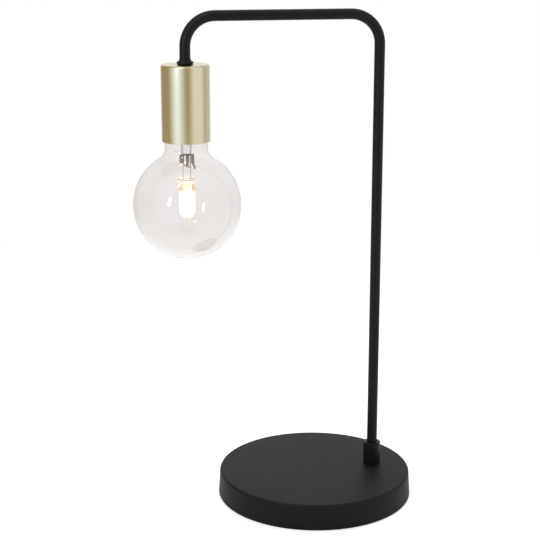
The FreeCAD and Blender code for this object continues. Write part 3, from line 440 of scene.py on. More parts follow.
def mixed_colour(tree, mask, first, second):
    """A colour between two, by a mask."""
    node = tree.nodes.new("ShaderNodeMix")
    node.data_type = "RGBA"
    # of its many sockets, these are the factor and both colours, and below the mixed colour
    for index, value in ((0, mask), (6, first), (7, second)):
        plug(tree, node.inputs[index], (*value, 1.0) if isinstance(value, tuple) else value)
    return node.outputs[2]


def bump_node(tree, height, distance):
    """A bump from a height; returns its normal."""
    node = tree.nodes.new("ShaderNodeBump")
    return feed(tree, node, Strength=1.0, Distance=distance, Height=height).outputs["Normal"]


def new_material(name):
    """A material with a Principled shader; returns it with its tree and shader."""
    material = bpy.data.materials.new(name)
    material.use_nodes = True
    tree = material.node_tree
    return material, tree, tree.nodes["Principled BSDF"]


# ------------------------------------------------------------------ materials
FINISH = {}  # every material by its finish's name
GLASS_IOR, GLASS_WAVE = 1.42, 0.00012


def grained(groups, name, scales, cloud, roughness, bump):
    """A material with grain and cloudy gloss; returns it, its tree, its shader and its cloud."""
    material, tree, shader = new_material(name)
    grain = group_node(tree, groups["grain"], Scale=scales[0], Cloud_Scale=scales[1],
                       Cloud_Amount=cloud).outputs
    feed(tree, shader, Roughness=math_node(tree, "MULTIPLY", grain["Cloud"], roughness, True),
         Normal=bump_node(tree, grain["Height"], bump))
    return material, tree, shader, grain["Cloud"]


def coat_material(groups, name, colour, gloss, roughness, bump=0.00003, dust=0.0, cloud=0.25,
                  sheen=(1.0, 1.0, 1.0)):
    """A painted or moulded surface with fine grain, slow cloudiness and thin dust."""
    material, tree, shader, _ = grained(groups, name, (1400.0, 22.0), cloud, roughness, bump)
    layer = group_node(tree, groups["dust"], Amount=dust, Scale=90.0)
    pale = tuple(channel + 0.10 for channel in colour)
    feed(tree, shader, Base_Color=mixed_colour(tree, layer.outputs["Mask"], colour, pale),
         Specular_IOR_Level=gloss, Specular_Tint=(*sheen, 1.0))
    return material


def metal_material(groups, name, colour, roughness, bump=0.00001, cloud=0.2):
    """A bare or plated metal with fine grain and slightly uneven gloss."""
    material, tree, shader, clouds = grained(groups, name, (2200.0, 30.0), cloud, roughness, bump)
    shade = tuple(channel * 0.93 for channel in colour)
    mask = math_node(tree, "SUBTRACT", clouds, 0.5, True)
    feed(tree, shader, Base_Color=mixed_colour(tree, mask, shade, colour), Metallic=1.0)
    return material


def glass_material(groups, name, colour, roughness=0.0):
    """Clear glass with a faint waviness."""
    material, tree, shader = new_material(name)
    wave = group_node(tree, groups["grain"], Scale=26.0, Cloud_Scale=40.0, Cloud_Amount=0.02)
    shade = tuple(channel * 0.99 for channel in colour)
    feed(tree, shader, Base_Color=mixed_colour(tree, wave.outputs["Cloud"], shade, colour),
         Normal=bump_node(tree, wave.outputs["Height"], GLASS_WAVE), Roughness=roughness,
         IOR=GLASS_IOR, Transmission_Weight=1.0)
    return material


def painted_glow_quartz(groups):
    """Clear quartz with painted light: a glow round the filament, an amber glow and a bright band
    above.
    """
    # painted light: the glass glows round the filament, in an amber zone and in a bright band
    # above, and is tinted warm and amber there as painted warm light
    clear, warm, amber = (0.97, 0.95, 0.935), (0.96, 0.90, 0.80), (0.95, 0.85, 0.70)
    middle_glow, edge_glow = (0.30, 0.26, 0.19), (0.02, 0.012, 0.006)
    tip_glow, amber_glow = (0.02, 0.011, 0.005), (0.04, 0.022, 0.010)
    band_glow, no_glow = (0.13, 0.11, 0.09), (0.0, 0.0, 0.0)
    material = glass_material(groups, "quartz", clear, 0.02)
    tree = material.node_tree
    shader = tree.nodes["Principled BSDF"]
    tip = CAPSULE_LOW.z
    amber_start = tip + 0.0262
    amber_end = tip + 0.0334
    height = place_axes(tree)["Z"]
    above_tip = smooth_step(tree, height, tip + 0.001, tip + 0.007)
    above_glow = smooth_step(tree, height, amber_start - 0.001, amber_start + 0.0015)
    above_amber = smooth_step(tree, height, amber_end - 0.001, amber_end + 0.001)
    above_band = smooth_step(tree, height, amber_end + 0.0036, amber_end + 0.0046)
    edge = feed(tree, tree.nodes.new("ShaderNodeLayerWeight"), Blend=0.4)
    glow = mixed_colour(tree, edge.outputs["Facing"], middle_glow, edge_glow)
    glow = mixed_colour(tree, above_tip, tip_glow, glow)
    glow = mixed_colour(tree, above_glow, glow, amber_glow)
    glow = mixed_colour(tree, above_amber, glow, band_glow)
    glow = mixed_colour(tree, above_band, glow, no_glow)
    # painted warm light: the glass is tinted warm where it glows and amber in the amber zone
    painted_warm_tint = mixed_colour(tree, above_glow, warm, amber)
    feed(tree, shader, Emission_Color=glow, Emission_Strength=1.3,
         Base_Color=mixed_colour(tree, above_amber, painted_warm_tint, clear))
    return material


def light_material(groups, name, colour, strength):
    """A lit wire, slightly uneven along its length."""
    material, tree, shader = new_material(name)
    grain = group_node(tree, groups["grain"], Scale=900.0, Cloud_Scale=60.0, Cloud_Amount=0.2)
    shade = tuple(channel * 0.8 for channel in colour)
    mask = math_node(tree, "SUBTRACT", grain.outputs["Cloud"], 0.4, True)
    feed(tree, shader, Emission_Color=mixed_colour(tree, mask, shade, colour),
         Emission_Strength=strength, Base_Color=(*colour, 1.0))
    return material


# metals: (colour, roughness)
METALS = {
    "cap_metal": ((0.72, 0.70, 0.66), 0.22),
    "zinc": ((0.60, 0.60, 0.61), 0.35),
    "contact_brass": ((0.72, 0.55, 0.26), 0.3),
    "clip_steel": ((0.30, 0.26, 0.215), 0.3),
    "lead_wire": ((0.80, 0.74, 0.66), 0.3),
    "solder": ((0.60, 0.60, 0.60), 0.45),
}

# cast, moulded and glazed surfaces: (colour, gloss, roughness, and for coarse ones the bump)
COATS = {
    "iron": ((0.09, 0.09, 0.09), 0.3, 0.7, 0.0003),
    "pad": ((0.02, 0.02, 0.02), 0.15, 0.9, 0.0002),
    "plate": ((0.03, 0.03, 0.03), 0.3, 0.5),
    "rubber": ((0.018, 0.018, 0.018), 0.25, 0.65),
    "nylon": ((0.72, 0.71, 0.66), 0.4, 0.5),
    "phenolic": ((0.025, 0.024, 0.023), 0.45, 0.35),
    "porcelain": ((0.78, 0.76, 0.71), 0.5, 0.2),
    "brown_lead": ((0.15, 0.06, 0.025), 0.4, 0.4),
    "blue_lead": ((0.03, 0.10, 0.35), 0.4, 0.4),
    "cap_glass": ((0.015, 0.015, 0.018), 0.5, 0.12),
}


def make_finishes(finish):
    """All materials of the lamp by name."""
    groups = {"grain": grain_group(), "dust": dust_group()}
    gloss, rough = finish.coat_gloss, finish.coat_roughness
    coat = tuple(finish.coat_colour)
    FINISH["tube_coat"] = coat_material(groups, "tube_coat", coat, gloss, rough)
    FINISH["base_coat"] = coat_material(groups, "base_coat", tuple(finish.base_colour),
                                        gloss * 0.8, rough * 1.4, dust=0.03, cloud=0.06,
                                        sheen=(1.0, 0.91, 0.91))
    FINISH["cup_metal"] = metal_material(groups, "cup_metal", tuple(finish.cup_colour),
                                         finish.cup_roughness, bump=0.000002, cloud=0.08)
    for name, values in METALS.items():
        FINISH[name] = metal_material(groups, name, *values)
    for name, values in COATS.items():
        FINISH[name] = coat_material(groups, name, *values)
    FINISH["globe_glass"] = glass_material(groups, "globe_glass", tuple(finish.glass_colour))
    FINISH["stem_glass"] = glass_material(groups, "stem_glass", (0.98, 0.98, 0.98))
    FINISH["quartz"] = painted_glow_quartz(groups)
    FINISH["filament"] = light_material(groups, "filament", tuple(finish.glow_colour), 30.0)


# ------------------------------------------------------------------ operators
class LAMP_OT_finishes(bpy.types.Operator):
    """Makes every material of the lamp"""

    bl_idname = "lamp.finishes"
    bl_label = "Finishes"

    def execute(self, context):
        make_finishes(context.scene.lamp_finish)
        return {"FINISHED"}


class LAMP_OT_base(bpy.types.Operator):
    """Makes the base's shell with its rounded edge and holes"""

    bl_idname = "lamp.base"
    bl_label = "Base"

    def execute(self, context):
        shape = context.scene.lamp_shape
        low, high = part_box("base_shell")
        foot = (high.y - low.y) / 2
        top, edge, wall = shape.base_top_radius, shape.base_edge_round, shape.base_wall
        bevel_up, bevel_in, play, bore_radius = 0.0004, 0.0002, 0.0002, 0.0053
        outline = [(0.0, high.z), (top * 0.5, high.z)]
        outline += arc(top - edge, high.z - edge, edge, 90, 0, 14)
        outline += [(foot, low.z + bevel_up), (foot - bevel_in, low.z), (foot - wall, low.z)]
        outline += arc(top - edge, high.z - edge, edge - wall, 0, 90, 8)
        outline += [(0.0, high.z - wall)]
        shell = turned("base_cover", outline[::-1], 0.0, shape.round_steps * 2)
        stud = half_width("pole_foot_stud") + play
        hole = turned("stud_cutter", [(0.0, low.z), (stud, low.z), (stud, high.z + wall),
                                      (0.0, high.z + wall)], POLE_X, 48)
        combined(shell, hole, "DIFFERENCE")
        inlet = centre_of("cord_grommet")
        ends = [(0.0, inlet.y + side * 0.01, inlet.z) for side in (-1, 1)]
        bore = piped("cord_cutter", ends, bore_radius)
        combined(shell, bore, "DIFFERENCE")
        finish_piece(shell, "base_coat", "root", "black_paint", "base_shell")
        return {"FINISHED"}


class LAMP_OT_tube(bpy.types.Operator):
    """Makes the bent tube: pole, arm and drop with two round bends"""

    bl_idname = "lamp.tube"
    bl_label = "Bent tube"

    def execute(self, context):
        shape = context.scene.lamp_shape
        bend = shape.tube_bend
        low = ARM_HEIGHT - bend
        drop_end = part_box("holder_nipple")[1].z + 0.1 * MM
        line = [(DROP_X, drop_end), (DROP_X, (drop_end + low) / 2)]
        line += arc(DROP_X + bend, low, bend, 180, 90, 28)
        line += arc(POLE_X - bend, low, bend, 90, 0, 28)
        line += [(POLE_X, low * 0.6), (POLE_X, low * 0.3), (POLE_X, TUBE_LOW.z)]
        spots = [(across, 0.0, up) for across, up in line]
        tube = piped("bent_tube_skin", spots, TUBE_RADIUS, 64, TUBE_RADIUS - shape.tube_wall)
        finish_piece(tube, "tube_coat", "root", "black_paint", "bent_tube")
        return {"FINISHED"}


class LAMP_OT_collar(bpy.types.Operator):
    """Makes the collar at the pole's foot with its grub-screw hole"""

    bl_idname = "lamp.collar"
    bl_label = "Pole collar"

    def execute(self, context):
        low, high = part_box("pole_collar")
        radius = half_width("pole_collar")
        edge, foot_edge, grub_radius = 0.6 * MM, 0.3 * MM, 2.1 * MM
        bore, seat = TUBE_RADIUS + 0.06 * MM, TUBE_LOW.z
        stud = half_width("pole_foot_stud") + 0.1 * MM
        outline = [(stud, low.z), (radius - foot_edge, low.z)]
        outline += arc(radius - foot_edge, low.z + foot_edge, foot_edge, -90, 0, 4)
        outline += arc(radius - edge, high.z - edge, edge, 0, 90, 8)
        outline += [(bore, high.z), (bore, seat), (stud, seat)]
        collar = turned("collar_sleeve", outline, POLE_X, 96)
        grub = centre_of("collar_grub_screw")
        hole = piped("grub_cutter", [(POLE_X, grub.y - 3 * MM, grub.z),
                                     (POLE_X, grub.y + 6 * MM, grub.z)], grub_radius)
        combined(collar, hole, "DIFFERENCE")
        finish_piece(collar, "tube_coat", "root", "black_paint", "pole_collar")
        return {"FINISHED"}


class LAMP_OT_ferrule(bpy.types.Operator):
    """Makes the flared ferrule between the tube and the cup"""

    bl_idname = "lamp.ferrule"
    bl_label = "Ferrule"

    def execute(self, context):
        low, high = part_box("tube_ferrule")
        radius = half_width("tube_ferrule")
        bore = TUBE_RADIUS + 0.08 * MM
        play, bevel = 0.1 * MM, 0.1 * MM
        nipple = half_width("holder_nipple") + play
        lip = bore + 0.25 * MM
        bulge, hollow, hollow_rise = 1.35 * MM, 1.9 * MM, 2.45 * MM
        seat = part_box("holder_nipple")[1].z + play
        outline = [(nipple, low.z), (radius - bulge, low.z)]
        outline += arc(radius - bulge, low.z + bulge, bulge, -84, 62, 12)
        outline += arc(lip + hollow, low.z + hollow_rise + hollow, hollow, 242, 180, 8)
        outline += [(lip, high.z - 2 * bevel), (lip - bevel, high.z), (bore, high.z),
                    (bore, seat), (nipple, seat)]
        ferrule = turned("ferrule_flare", outline, DROP_X, 96)
        finish_piece(ferrule, "tube_coat", "root", "black_paint", "tube_ferrule")
        return {"FINISHED"}


class LAMP_OT_cup(bpy.types.Operator):
    """Makes the metal cup with its rounded upper edge and thin rim"""

    bl_idname = "lamp.cup"
    bl_label = "Lampholder cup"

    def execute(self, context):
        shape = context.scene.lamp_shape
        low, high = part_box("lampholder_cup")
        radius = (high.y - low.y) / 2
        edge, wall = shape.cup_edge_round, shape.cup_wall
        top_wall, inner_drop, rim = 1.2 * MM, 0.2 * MM, 0.25 * MM
        hole = half_width("holder_nipple") + 0.2 * MM
        outline = [(hole, high.z - top_wall), (radius - edge, high.z - top_wall)]
        outline += arc(radius - edge, high.z - edge - inner_drop, edge - wall, 90, 0, 8)
        outline += arc(radius - wall + rim, low.z + rim, rim, 180, 270, 4)
        outline += arc(radius - rim, low.z + rim, rim, 270, 360, 4)
        outline += arc(radius - edge, high.z - edge, edge, 0, 90, 12)
        outline += [(hole, high.z)]
        cup = turned("cup_skin", outline, DROP_X, shape.round_steps)
        finish_piece(cup, "cup_metal", "root", "cup_metal", "lampholder_cup")
        return {"FINISHED"}


def globe_outline(shape, inset):
    """The globe's half outline from its bottom to the throat, set in by a distance."""
    radius, neck, blend = shape.globe_radius, shape.neck_radius, shape.neck_blend
    centre = GLOBE_LOW.z + radius
    rise = math.sqrt((radius + blend) ** 2 - (neck + blend) ** 2)
    meet = math.degrees(math.atan2(rise, neck + blend))
    points = arc(0.0, centre, radius - inset, -90, meet, 64)
    points += arc(neck + blend, centre + rise, blend + inset, 180 + meet, 180, 12)[1:]
    top = GLOBE_HIGH.z
    drop = inset / 2
    shoulder, throat, throat_edge = 2.4 * MM, 11.3 * MM, 11.8 * MM
    shoulder_drop, edge_drop, throat_drop = 14.6 * MM, 7.4 * MM, 6.4 * MM
    points += arc(neck - shoulder, top - shoulder_drop - drop, shoulder - inset * 0.4, 0, 40, 6)
    points += [(throat_edge - inset, top - edge_drop - drop),
               (throat - inset, top - throat_drop - drop), (throat - inset, top)]
    return points


class LAMP_OT_globe(bpy.types.Operator):
    """Makes the clear glass globe with its blended neck"""

    bl_idname = "lamp.globe"
    bl_label = "Glass globe"

    def execute(self, context):
        shape = context.scene.lamp_shape
        outline = globe_outline(shape, 0.0) + globe_outline(shape, shape.glass_wall)[::-1]
        outline[0] = (0.0, outline[0][1])
        outline[-1] = (0.0, outline[-1][1])
        globe = turned("globe_glass", outline, DROP_X, shape.round_steps)
        finish_piece(globe, "globe_glass", "bulb", "globe_glass", "bulb_globe")
        return {"FINISHED"}


def lofted(name, sections, x):
    """A closed skin through level rings of (half width, half depth, squareness, height)."""
    steps = 64
    vertices, faces = [], []
    for wide, deep, square, height in sections:
        for step in range(steps):
            angle = 2 * math.pi * step / steps
            cosine, sine = math.cos(angle), math.sin(angle)
            power = 2 / square
            across = math.copysign(abs(cosine) ** power, cosine) * wide
            along = math.copysign(abs(sine) ** power, sine) * deep
            vertices.append((x + across, along, height))
    for ring in range(len(sections) - 1):
        start, after = ring * steps, (ring + 1) * steps
        for step in range(steps):
            turn = (step + 1) % steps
            faces.append((start + step, start + turn, after + turn, after + step))
    faces.append(tuple(range(steps))[::-1])
    faces.append(tuple(range(len(vertices) - steps, len(vertices))))
    return new_object(name, vertices, faces)


# the capsule's tip in millimetres: (radius, height above its lower end)
CAPSULE_TIP = ((0.6, 0.0), (1.0, 0.4), (1.15, 1.3), (1.3, 2.1))
# its pinch in millimetres: (inset of the half width, distance below its upper end)
CAPSULE_PINCH = ((0.0, 3.4), (0.25, 2.0), (0.8, 1.0), (1.6, 0.35), (2.6, 0.0))
# its hollow's upper end: (insets of half width and half depth, squareness, distance below pinch)
CAPSULE_HOLLOW = ((1.0, 1.0, 2, 4.6), (1.3, 2.4, 2.4, 3.2), (2.4, 5.0, 3, 2.0))


class LAMP_OT_capsule(bpy.types.Operator):
    """Makes the quartz capsule: pinch, shoulders, round end and tip, with its hollow"""

    bl_idname = "lamp.capsule"
    bl_label = "Quartz capsule"

    def execute(self, context):
        low, high = CAPSULE_LOW.z, CAPSULE_HIGH.z
        radius = (CAPSULE_HIGH.y - CAPSULE_LOW.y) / 2
        pinch, deep, rise = high - 12.5 * MM, 1.9 * MM, 6.2 * MM
        end, inner_end, shoulder, flatten = 2.3 * MM, 3.4 * MM, 4.2 * MM, 4.6 * MM
        sections = [(across * MM, across * MM, 2, low + up * MM) for across, up in CAPSULE_TIP]
        for across, up in arc(0.0, 0.0, 1.0, -74, 0, 14):
            sections.append((radius * across, radius * across, 2, low + end + rise * (1 + up)))
        sections.append((radius, radius, 2, pinch - shoulder))
        for share in (0.2, 0.4, 0.6, 0.8, 1.0):
            ease = share * share * (3 - 2 * share)
            sections.append((radius, radius + (deep - radius) * ease, 2 + 2 * ease,
                             pinch - shoulder + flatten * share))
        for inset, drop in CAPSULE_PINCH:
            sections.append((radius - inset * MM, deep - 0.25 * inset * MM, 4, high - drop * MM))
        capsule = lofted("capsule_quartz", sections, DROP_X)
        inner = radius - MM
        inside = []
        for across, up in arc(0.0, 0.0, 1.0, -86, 0, 10):
            inside.append((inner * across, inner * across, 2, low + inner_end + rise * (1 + up)))
        for inset, inset_deep, square, drop in CAPSULE_HOLLOW:
            inside.append((radius - inset * MM, radius - inset_deep * MM, square,
                           pinch - drop * MM))
        hollow = lofted("capsule_hollow", inside, DROP_X)
        combined(capsule, hollow, "DIFFERENCE")
        finish_piece(capsule, "quartz", "bulb", "quartz_glass", "halogen_capsule")
        return {"FINISHED"}


class LAMP_OT_filament(bpy.types.Operator):
    """Makes the lit coil of the filament and its legs"""

    bl_idname = "lamp.filament"
    bl_label = "Filament"

    def execute(self, context):
        shape = context.scene.lamp_shape
        low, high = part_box("filament")
        wire, turn_steps = 0.24 * MM, 16
        coil_radius = (high.y - low.y) / 2 - 0.22 * MM
        bottom, top = low.z + 0.3 * MM, low.z + 17.0 * MM
        leg, leg_top = (high.x - low.x) / 2 - 0.3 * MM, high.z - 0.4 * MM
        spots = [(DROP_X - leg, 0.0, leg_top), (DROP_X - 0.6 * leg, 0.0, top + 1.6 * MM)]
        steps = shape.coil_turns * turn_steps
        for step in range(steps + 1):
            angle = 2 * math.pi * step / turn_steps
            height = top + (bottom - top) * step / steps
            spots.append((DROP_X - coil_radius * math.cos(angle), coil_radius * math.sin(angle),
                          height))
        spots += [(DROP_X + 0.6 * leg, 0.0, bottom), (DROP_X + leg, 0.0, bottom + 0.8 * MM),
                  (DROP_X + leg, 0.0, leg_top)]
        coil = piped("filament_coil", spots, wire, 8)
        finish_piece(coil, "filament", "bulb", "tungsten", "filament")
        return {"FINISHED"}


# the stem in millimetres: (half width, half depth, squareness, height above its lower end)
STEM_PRESS = ((1.2, 0.8, 3, 0.0), (4.0, 1.6, 3, 0.9), (4.9, 2.0, 3, 2.4), (4.9, 2.4, 3, 4.4),
              (4.7, 3.9, 2, 6.6), (4.6, 4.4, 2, 10.0))
# its tube and flare: (radius, distance below its upper end)
STEM_TUBE = ((4.4, 8.0), (5.6, 4.6), (8.4, 1.8))


class LAMP_OT_stem(bpy.types.Operator):
    """Makes the glass stem with its flare, tube and flattened press"""

    bl_idname = "lamp.stem"
    bl_label = "Glass stem"

    def execute(self, context):
        low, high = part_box("glass_stem")
        flare = half_width("glass_stem") - 0.1 * MM
        sections = [(wide * MM, deep * MM, square, low.z + up * MM)
                    for wide, deep, square, up in STEM_PRESS]
        sections += [(radius * MM, radius * MM, 2, high.z - down * MM)
                     for radius, down in STEM_TUBE]
        sections += [(flare, flare, 2, high.z - 0.6 * MM), (flare, flare, 2, high.z)]
        stem = lofted("stem_glass", sections, DROP_X)
        finish_piece(stem, "stem_glass", "bulb", "globe_glass", "glass_stem")
        return {"FINISHED"}


# the clip's flat parts in millimetres: (name, left, near, right, far, bottom, top), from the
# drop's axis and the clip's upper end
CLIP_BLOCKS = (
    ("plate", -6.2, -2.9, 6.4, 2.9, -0.7, 0.0),
    ("left_flag", -6.2, -3.1, -2.4, -2.5, -7.6, -0.3),
    ("left_lip", -6.2, -3.1, -5.6, 1.2, -7.6, -0.3),
    ("middle_tab", -0.4, -3.1, 1.9, -2.5, -8.2, -0.3),
    ("middle_side", -0.4, -3.1, 0.1, -1.6, -8.2, -0.3),
    ("right_tab", 3.6, -3.1, 6.4, -2.5, -8.3, -0.3),
    ("right_side", 5.8, -3.1, 6.4, 1.2, -8.3, -0.3),
    ("rear_tab", -0.3, 2.4, 1.8, 2.9, -11.6, -0.3),
)
# its arm and tongue: (to the right, up from the clip's or the capsule's upper end)
CLIP_ARM = ((5.2, -7.4), (5.5, -8.6), (6.6, -10.4), (6.8, -12.6))
CLIP_TONGUE = ((-3.2, 0.2), (-1.6, -1.2), (0.2, -0.9), (1.8, -2.6), (3.4, -2.9))


class LAMP_OT_clip(bpy.types.Operator):
    """Makes the sheet-metal clip that holds the capsule under the stem"""

    bl_idname = "lamp.clip"
    bl_label = "Capsule clip"

    def execute(self, context):
        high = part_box("capsule_clip")[1].z
        bevel, front = 0.14 * MM, -2.6 * MM
        parts = []
        for label, left, near, right, far, bottom, top in CLIP_BLOCKS:
            parts.append(bevelled_block(
                f"clip_{label}", (DROP_X + left * MM, near * MM, high + bottom * MM),
                (DROP_X + right * MM, far * MM, high + top * MM), bevel))
        for label, line, start, radius in (("arm", CLIP_ARM, high, 0.85 * MM),
                                           ("tongue", CLIP_TONGUE, CAPSULE_HIGH.z, 0.5 * MM)):
            spots = [(DROP_X + across * MM, front, start + up * MM) for across, up in line]
            parts.append(piped(f"clip_{label}", spots, radius, 12))
        clip = parts[0]
        for part in parts[1:]:
            combined(clip, part, "UNION")
        clip.name = "capsule_clip_sheet"
        finish_piece(clip, "clip_steel", "bulb", "clip_steel", "capsule_clip")
        return {"FINISHED"}


NODE_FINISH = {
    "base_pad": "pad", "base_bottom_plate": "plate", "bottom_plate_screws": "zinc",
    "base_weight": "iron", "cord_grommet": "rubber", "terminal_block": "nylon",
    "terminal_block_screws": "zinc", "earth_tag": "contact_brass", "earth_screw": "zinc",
    "collar_grub_screw": "zinc", "pole_foot_stud": "zinc", "pole_foot_washer": "zinc",
    "pole_foot_lock_washer": "zinc", "pole_foot_nut": "zinc", "live_lead": "brown_lead",
    "neutral_lead": "blue_lead", "holder_nipple": "zinc", "cup_washer": "zinc",
    "holder_cap": "phenolic", "holder_lock_nut": "zinc", "holder_insert": "porcelain",
    "holder_terminal_screws": "contact_brass", "holder_skirt": "phenolic",
    "centre_contact": "contact_brass", "side_contact": "contact_brass",
    "screw_shell": "contact_brass", "bulb_cap": "cap_metal", "cap_insulator": "cap_glass",
    "bulb_tip_contact": "solder", "stem_lead_wires": "lead_wire",
}


class LAMP_OT_nodes(bpy.types.Operator):
    """Gives the remaining construction pieces their materials"""

    bl_idname = "lamp.nodes"
    bl_label = "Inner pieces"

    def execute(self, context):
        for node, finish in NODE_FINISH.items():
            dress(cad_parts[node], finish)
        return {"FINISHED"}


def seen_white(tree, level, strength, gloss=1.0):
    """White for camera, glossy and transmission rays, and a plain level for all others."""
    path = tree.nodes.new("ShaderNodeLightPath").outputs
    shine = math_node(tree, "MULTIPLY", path["Is Glossy Ray"], gloss)
    seen = math_node(tree, "MAXIMUM", path["Is Camera Ray"], shine)
    seen = math_node(tree, "MAXIMUM", seen, path["Is Transmission Ray"])
    part = math_node(tree, "MULTIPLY", seen, strength - level)
    return math_node(tree, "ADD", part, level)


def room_shade(tree, x):
    """The room's colour by the direction seen from an upright axis at x."""
    place = place_axes(tree)
    across = math_node(tree, "SUBTRACT", place["X"], x)
    ahead = math_node(tree, "MULTIPLY", place["Y"], -1.0)
    turn = math_node(tree, "SUBTRACT", math_node(tree, "ARCTAN2", across, ahead),
                     math.radians(ROOM_TURN))
    share = math_node(tree, "MULTIPLY", turn, 0.5 / math.pi)
    ramp = tree.nodes.new("ShaderNodeValToRGB")
    tree.links.new(math_node(tree, "ADD", share, 0.5), ramp.inputs["Fac"])
    stops = ramp.color_ramp.elements
    while len(stops) > 1:
        stops.remove(stops[-1])
    for index, (degrees, colour) in enumerate(ROOM_SHADES):
        spot = 0.5 + degrees / 360
        stop = stops[0] if index == 0 else stops.new(spot)
        stop.position = spot
        stop.color = (*colour, 1.0)
    return ramp.outputs["Color"]


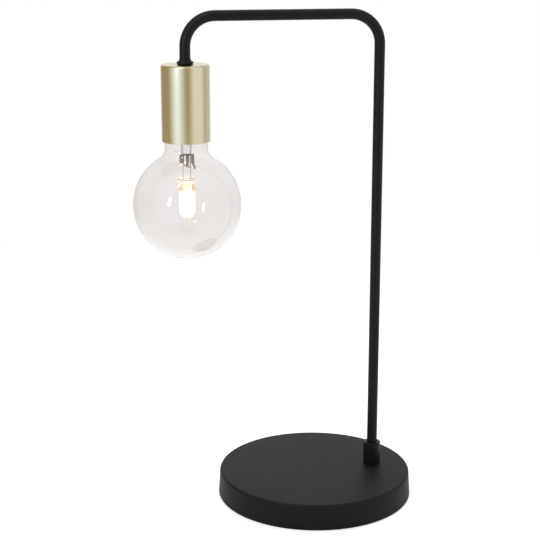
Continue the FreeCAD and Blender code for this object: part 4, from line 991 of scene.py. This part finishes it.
class LAMP_OT_stage(bpy.types.Operator):
    """Makes the camera, the lights, the world, the floor and the room's wall"""

    bl_idname = "lamp.stage"
    bl_label = "Studio"

    def execute(self, context):
        studio = context.scene.lamp_studio
        self.camera(context, studio)
        self.lights(context, studio)
        self.world(context, studio)
        self.floor()
        self.wall()
        context.scene.view_settings.view_transform = "Standard"
        return {"FINISHED"}

    def camera(self, context, studio):
        """The scene's camera, placed and turned by the settings."""
        data = bpy.data.cameras.new("camera")
        data.lens = studio.camera_lens
        data.sensor_width = 36.0
        data.clip_end = 50.0
        camera = bpy.data.objects.new("camera", data)
        camera.location = studio.camera_place
        camera.rotation_euler = (math.pi / 2 - studio.camera_tilt, 0.0, -studio.camera_turn)
        context.scene.collection.objects.link(camera)
        context.scene.camera = camera

    def lights(self, context, studio):
        """Three area lights that face the lamp."""
        aim = Vector((DROP_X, 0.0, 0.3))
        cool = (0.74, 0.84, 1.0)
        for name, turn, height, distance, wide, tall, power, colour, shines in (
            ("window_light", -45.0, 0.68, 1.40, 0.21, 0.57, studio.window_power, cool, True),
            ("small_lamp", -31.0, 1.42, 0.96, 0.15, 0.15, studio.spot_power, cool, True),
            ("top_light", 160.0, 1.90, 0.50, 1.20, 1.20, studio.top_power, (1.0, 1.0, 1.0), False),
        ):
            data = bpy.data.lights.new(name, "AREA")
            data.shape = "ELLIPSE" if shines else "RECTANGLE"
            data.size, data.size_y = wide, tall
            data.energy = power
            data.color = colour
            lamp = bpy.data.objects.new(name, data)
            lamp.visible_glossy = shines
            lamp.visible_transmission = shines
            angle = math.radians(turn)
            lamp.location = (DROP_X + distance * math.sin(angle),
                             -distance * math.cos(angle), height)
            lamp.rotation_euler = (aim - lamp.location).to_track_quat("-Z", "Y").to_euler()
            context.scene.collection.objects.link(lamp)

    def world(self, context, studio):
        """A white world, dimmer on matt surfaces."""
        world = bpy.data.worlds.new("white room")
        world.use_nodes = True
        tree = world.node_tree
        background = tree.nodes["Background"]
        background.inputs["Color"].default_value = (1.0, 1.0, 1.0, 1.0)
        tree.links.new(seen_white(tree, studio.room_level, 1.0), background.inputs["Strength"])
        context.scene.world = world

    def floor(self):
        """A round matt floor by the lamp that fades into plain white further out."""
        reach, steps, fade_start, fade_end = 1.6, 96, 0.35, 1.1
        near_glow, near_gloss, far_level = 0.52, 0.3, 0.6
        vertices = [(*spot, 0.0) for spot in arc(0.0, 0.0, reach, 0, 360, steps)[:-1]]
        floor = new_object("floor", vertices, [tuple(range(steps))])
        material, tree, shader = new_material("floor")
        tree.nodes.remove(shader)
        matt = feed(tree, tree.nodes.new("ShaderNodeBsdfDiffuse"), Color=(0.86, 0.86, 0.86, 1.0))
        white = feed(tree, tree.nodes.new("ShaderNodeEmission"),
                     Strength=seen_white(tree, 0.0, near_glow, near_gloss))
        lit = tree.nodes.new("ShaderNodeAddShader")
        tree.links.new(matt.outputs[0], lit.inputs[0])
        tree.links.new(white.outputs[0], lit.inputs[1])
        path = tree.nodes.new("ShaderNodeLightPath").outputs
        shine = math_node(tree, "SUBTRACT", path["Is Glossy Ray"], path["Is Transmission Ray"],
                          True)
        far = feed(tree, tree.nodes.new("ShaderNodeEmission"),
                   Strength=seen_white(tree, far_level, 1.0),
                   Color=mixed_colour(tree, shine, (1.0, 1.0, 1.0), room_shade(tree, DROP_X)))
        length = tree.nodes.new("ShaderNodeVectorMath")
        length.operation = "LENGTH"
        tree.links.new(object_place(tree), length.inputs[0])
        fade = smooth_step(tree, length.outputs["Value"], fade_start, fade_end)
        mix = tree.nodes.new("ShaderNodeMixShader")
        for socket, value in zip(mix.inputs, (fade, lit.outputs[0], far.outputs[0])):
            tree.links.new(value, socket)
        tree.links.new(mix.outputs[0], tree.nodes["Material Output"].inputs["Surface"])
        floor.data.materials.append(material)

    def wall(self):
        """A curved wall round the lamp, which only gloss and bent light see."""
        reach, low, high, steps = 1.5, 0.0, 3.0, 84
        through_glass = (0.85, 0.85, 0.85)
        vertices, faces = [], []
        for step in range(steps + 1):
            angle = math.radians(ROOM_TURN + ROOM_SIDE * (2 * step / steps - 1))
            spot = (DROP_X + reach * math.sin(angle), -reach * math.cos(angle))
            vertices += [(*spot, low), (*spot, high)]
        for step in range(steps):
            start = 2 * step
            faces.append((start, start + 2, start + 3, start + 1))
        wall = new_object("room_wall", vertices, faces)
        material, tree, shader = new_material("room_wall")
        tree.nodes.remove(shader)
        path = tree.nodes.new("ShaderNodeLightPath").outputs
        seen = mixed_colour(tree, path["Is Transmission Ray"], room_shade(tree, DROP_X),
                            through_glass)
        glow = feed(tree, tree.nodes.new("ShaderNodeEmission"), Color=seen)
        tree.links.new(glow.outputs[0], tree.nodes["Material Output"].inputs["Surface"])
        wall.data.materials.append(material)
        wall.visible_camera = False
        wall.visible_diffuse = False
        wall.visible_shadow = False


class LAMP_PT_panel(bpy.types.Panel):
    """Lists the lamp's steps and settings"""

    bl_label = "Bare bulb lamp"
    bl_idname = "LAMP_PT_panel"
    bl_space_type = "VIEW_3D"
    bl_region_type = "UI"
    bl_category = "Lamp"

    def draw(self, context):
        for step in STEPS:
            self.layout.operator(step.bl_idname)
        for name, group in SETTINGS.items():
            box = self.layout.box()
            for key in group.__annotations__:
                box.prop(getattr(context.scene, name), key)


STEPS = (
    LAMP_OT_finishes, LAMP_OT_base, LAMP_OT_tube, LAMP_OT_collar, LAMP_OT_ferrule, LAMP_OT_cup,
    LAMP_OT_globe, LAMP_OT_capsule, LAMP_OT_filament, LAMP_OT_stem, LAMP_OT_clip,
    LAMP_OT_nodes, LAMP_OT_stage,
)


def register():
    """Registers the settings, steps and panel."""
    for name, group in SETTINGS.items():
        bpy.utils.register_class(group)
        setattr(bpy.types.Scene, name, bpy.props.PointerProperty(type=group))
    for item in (*STEPS, LAMP_PT_panel):
        bpy.utils.register_class(item)


def unregister():
    """Removes what register added."""
    for item in (LAMP_PT_panel, *reversed(STEPS)):
        bpy.utils.unregister_class(item)
    for name, group in SETTINGS.items():
        delattr(bpy.types.Scene, name)
        bpy.utils.unregister_class(group)


def main():
    """Builds the lamp."""
    register()
    for step in STEPS:
        getattr(bpy.ops.lamp, step.bl_idname.split(".")[1])()


if __name__ == "__main__":
    main()
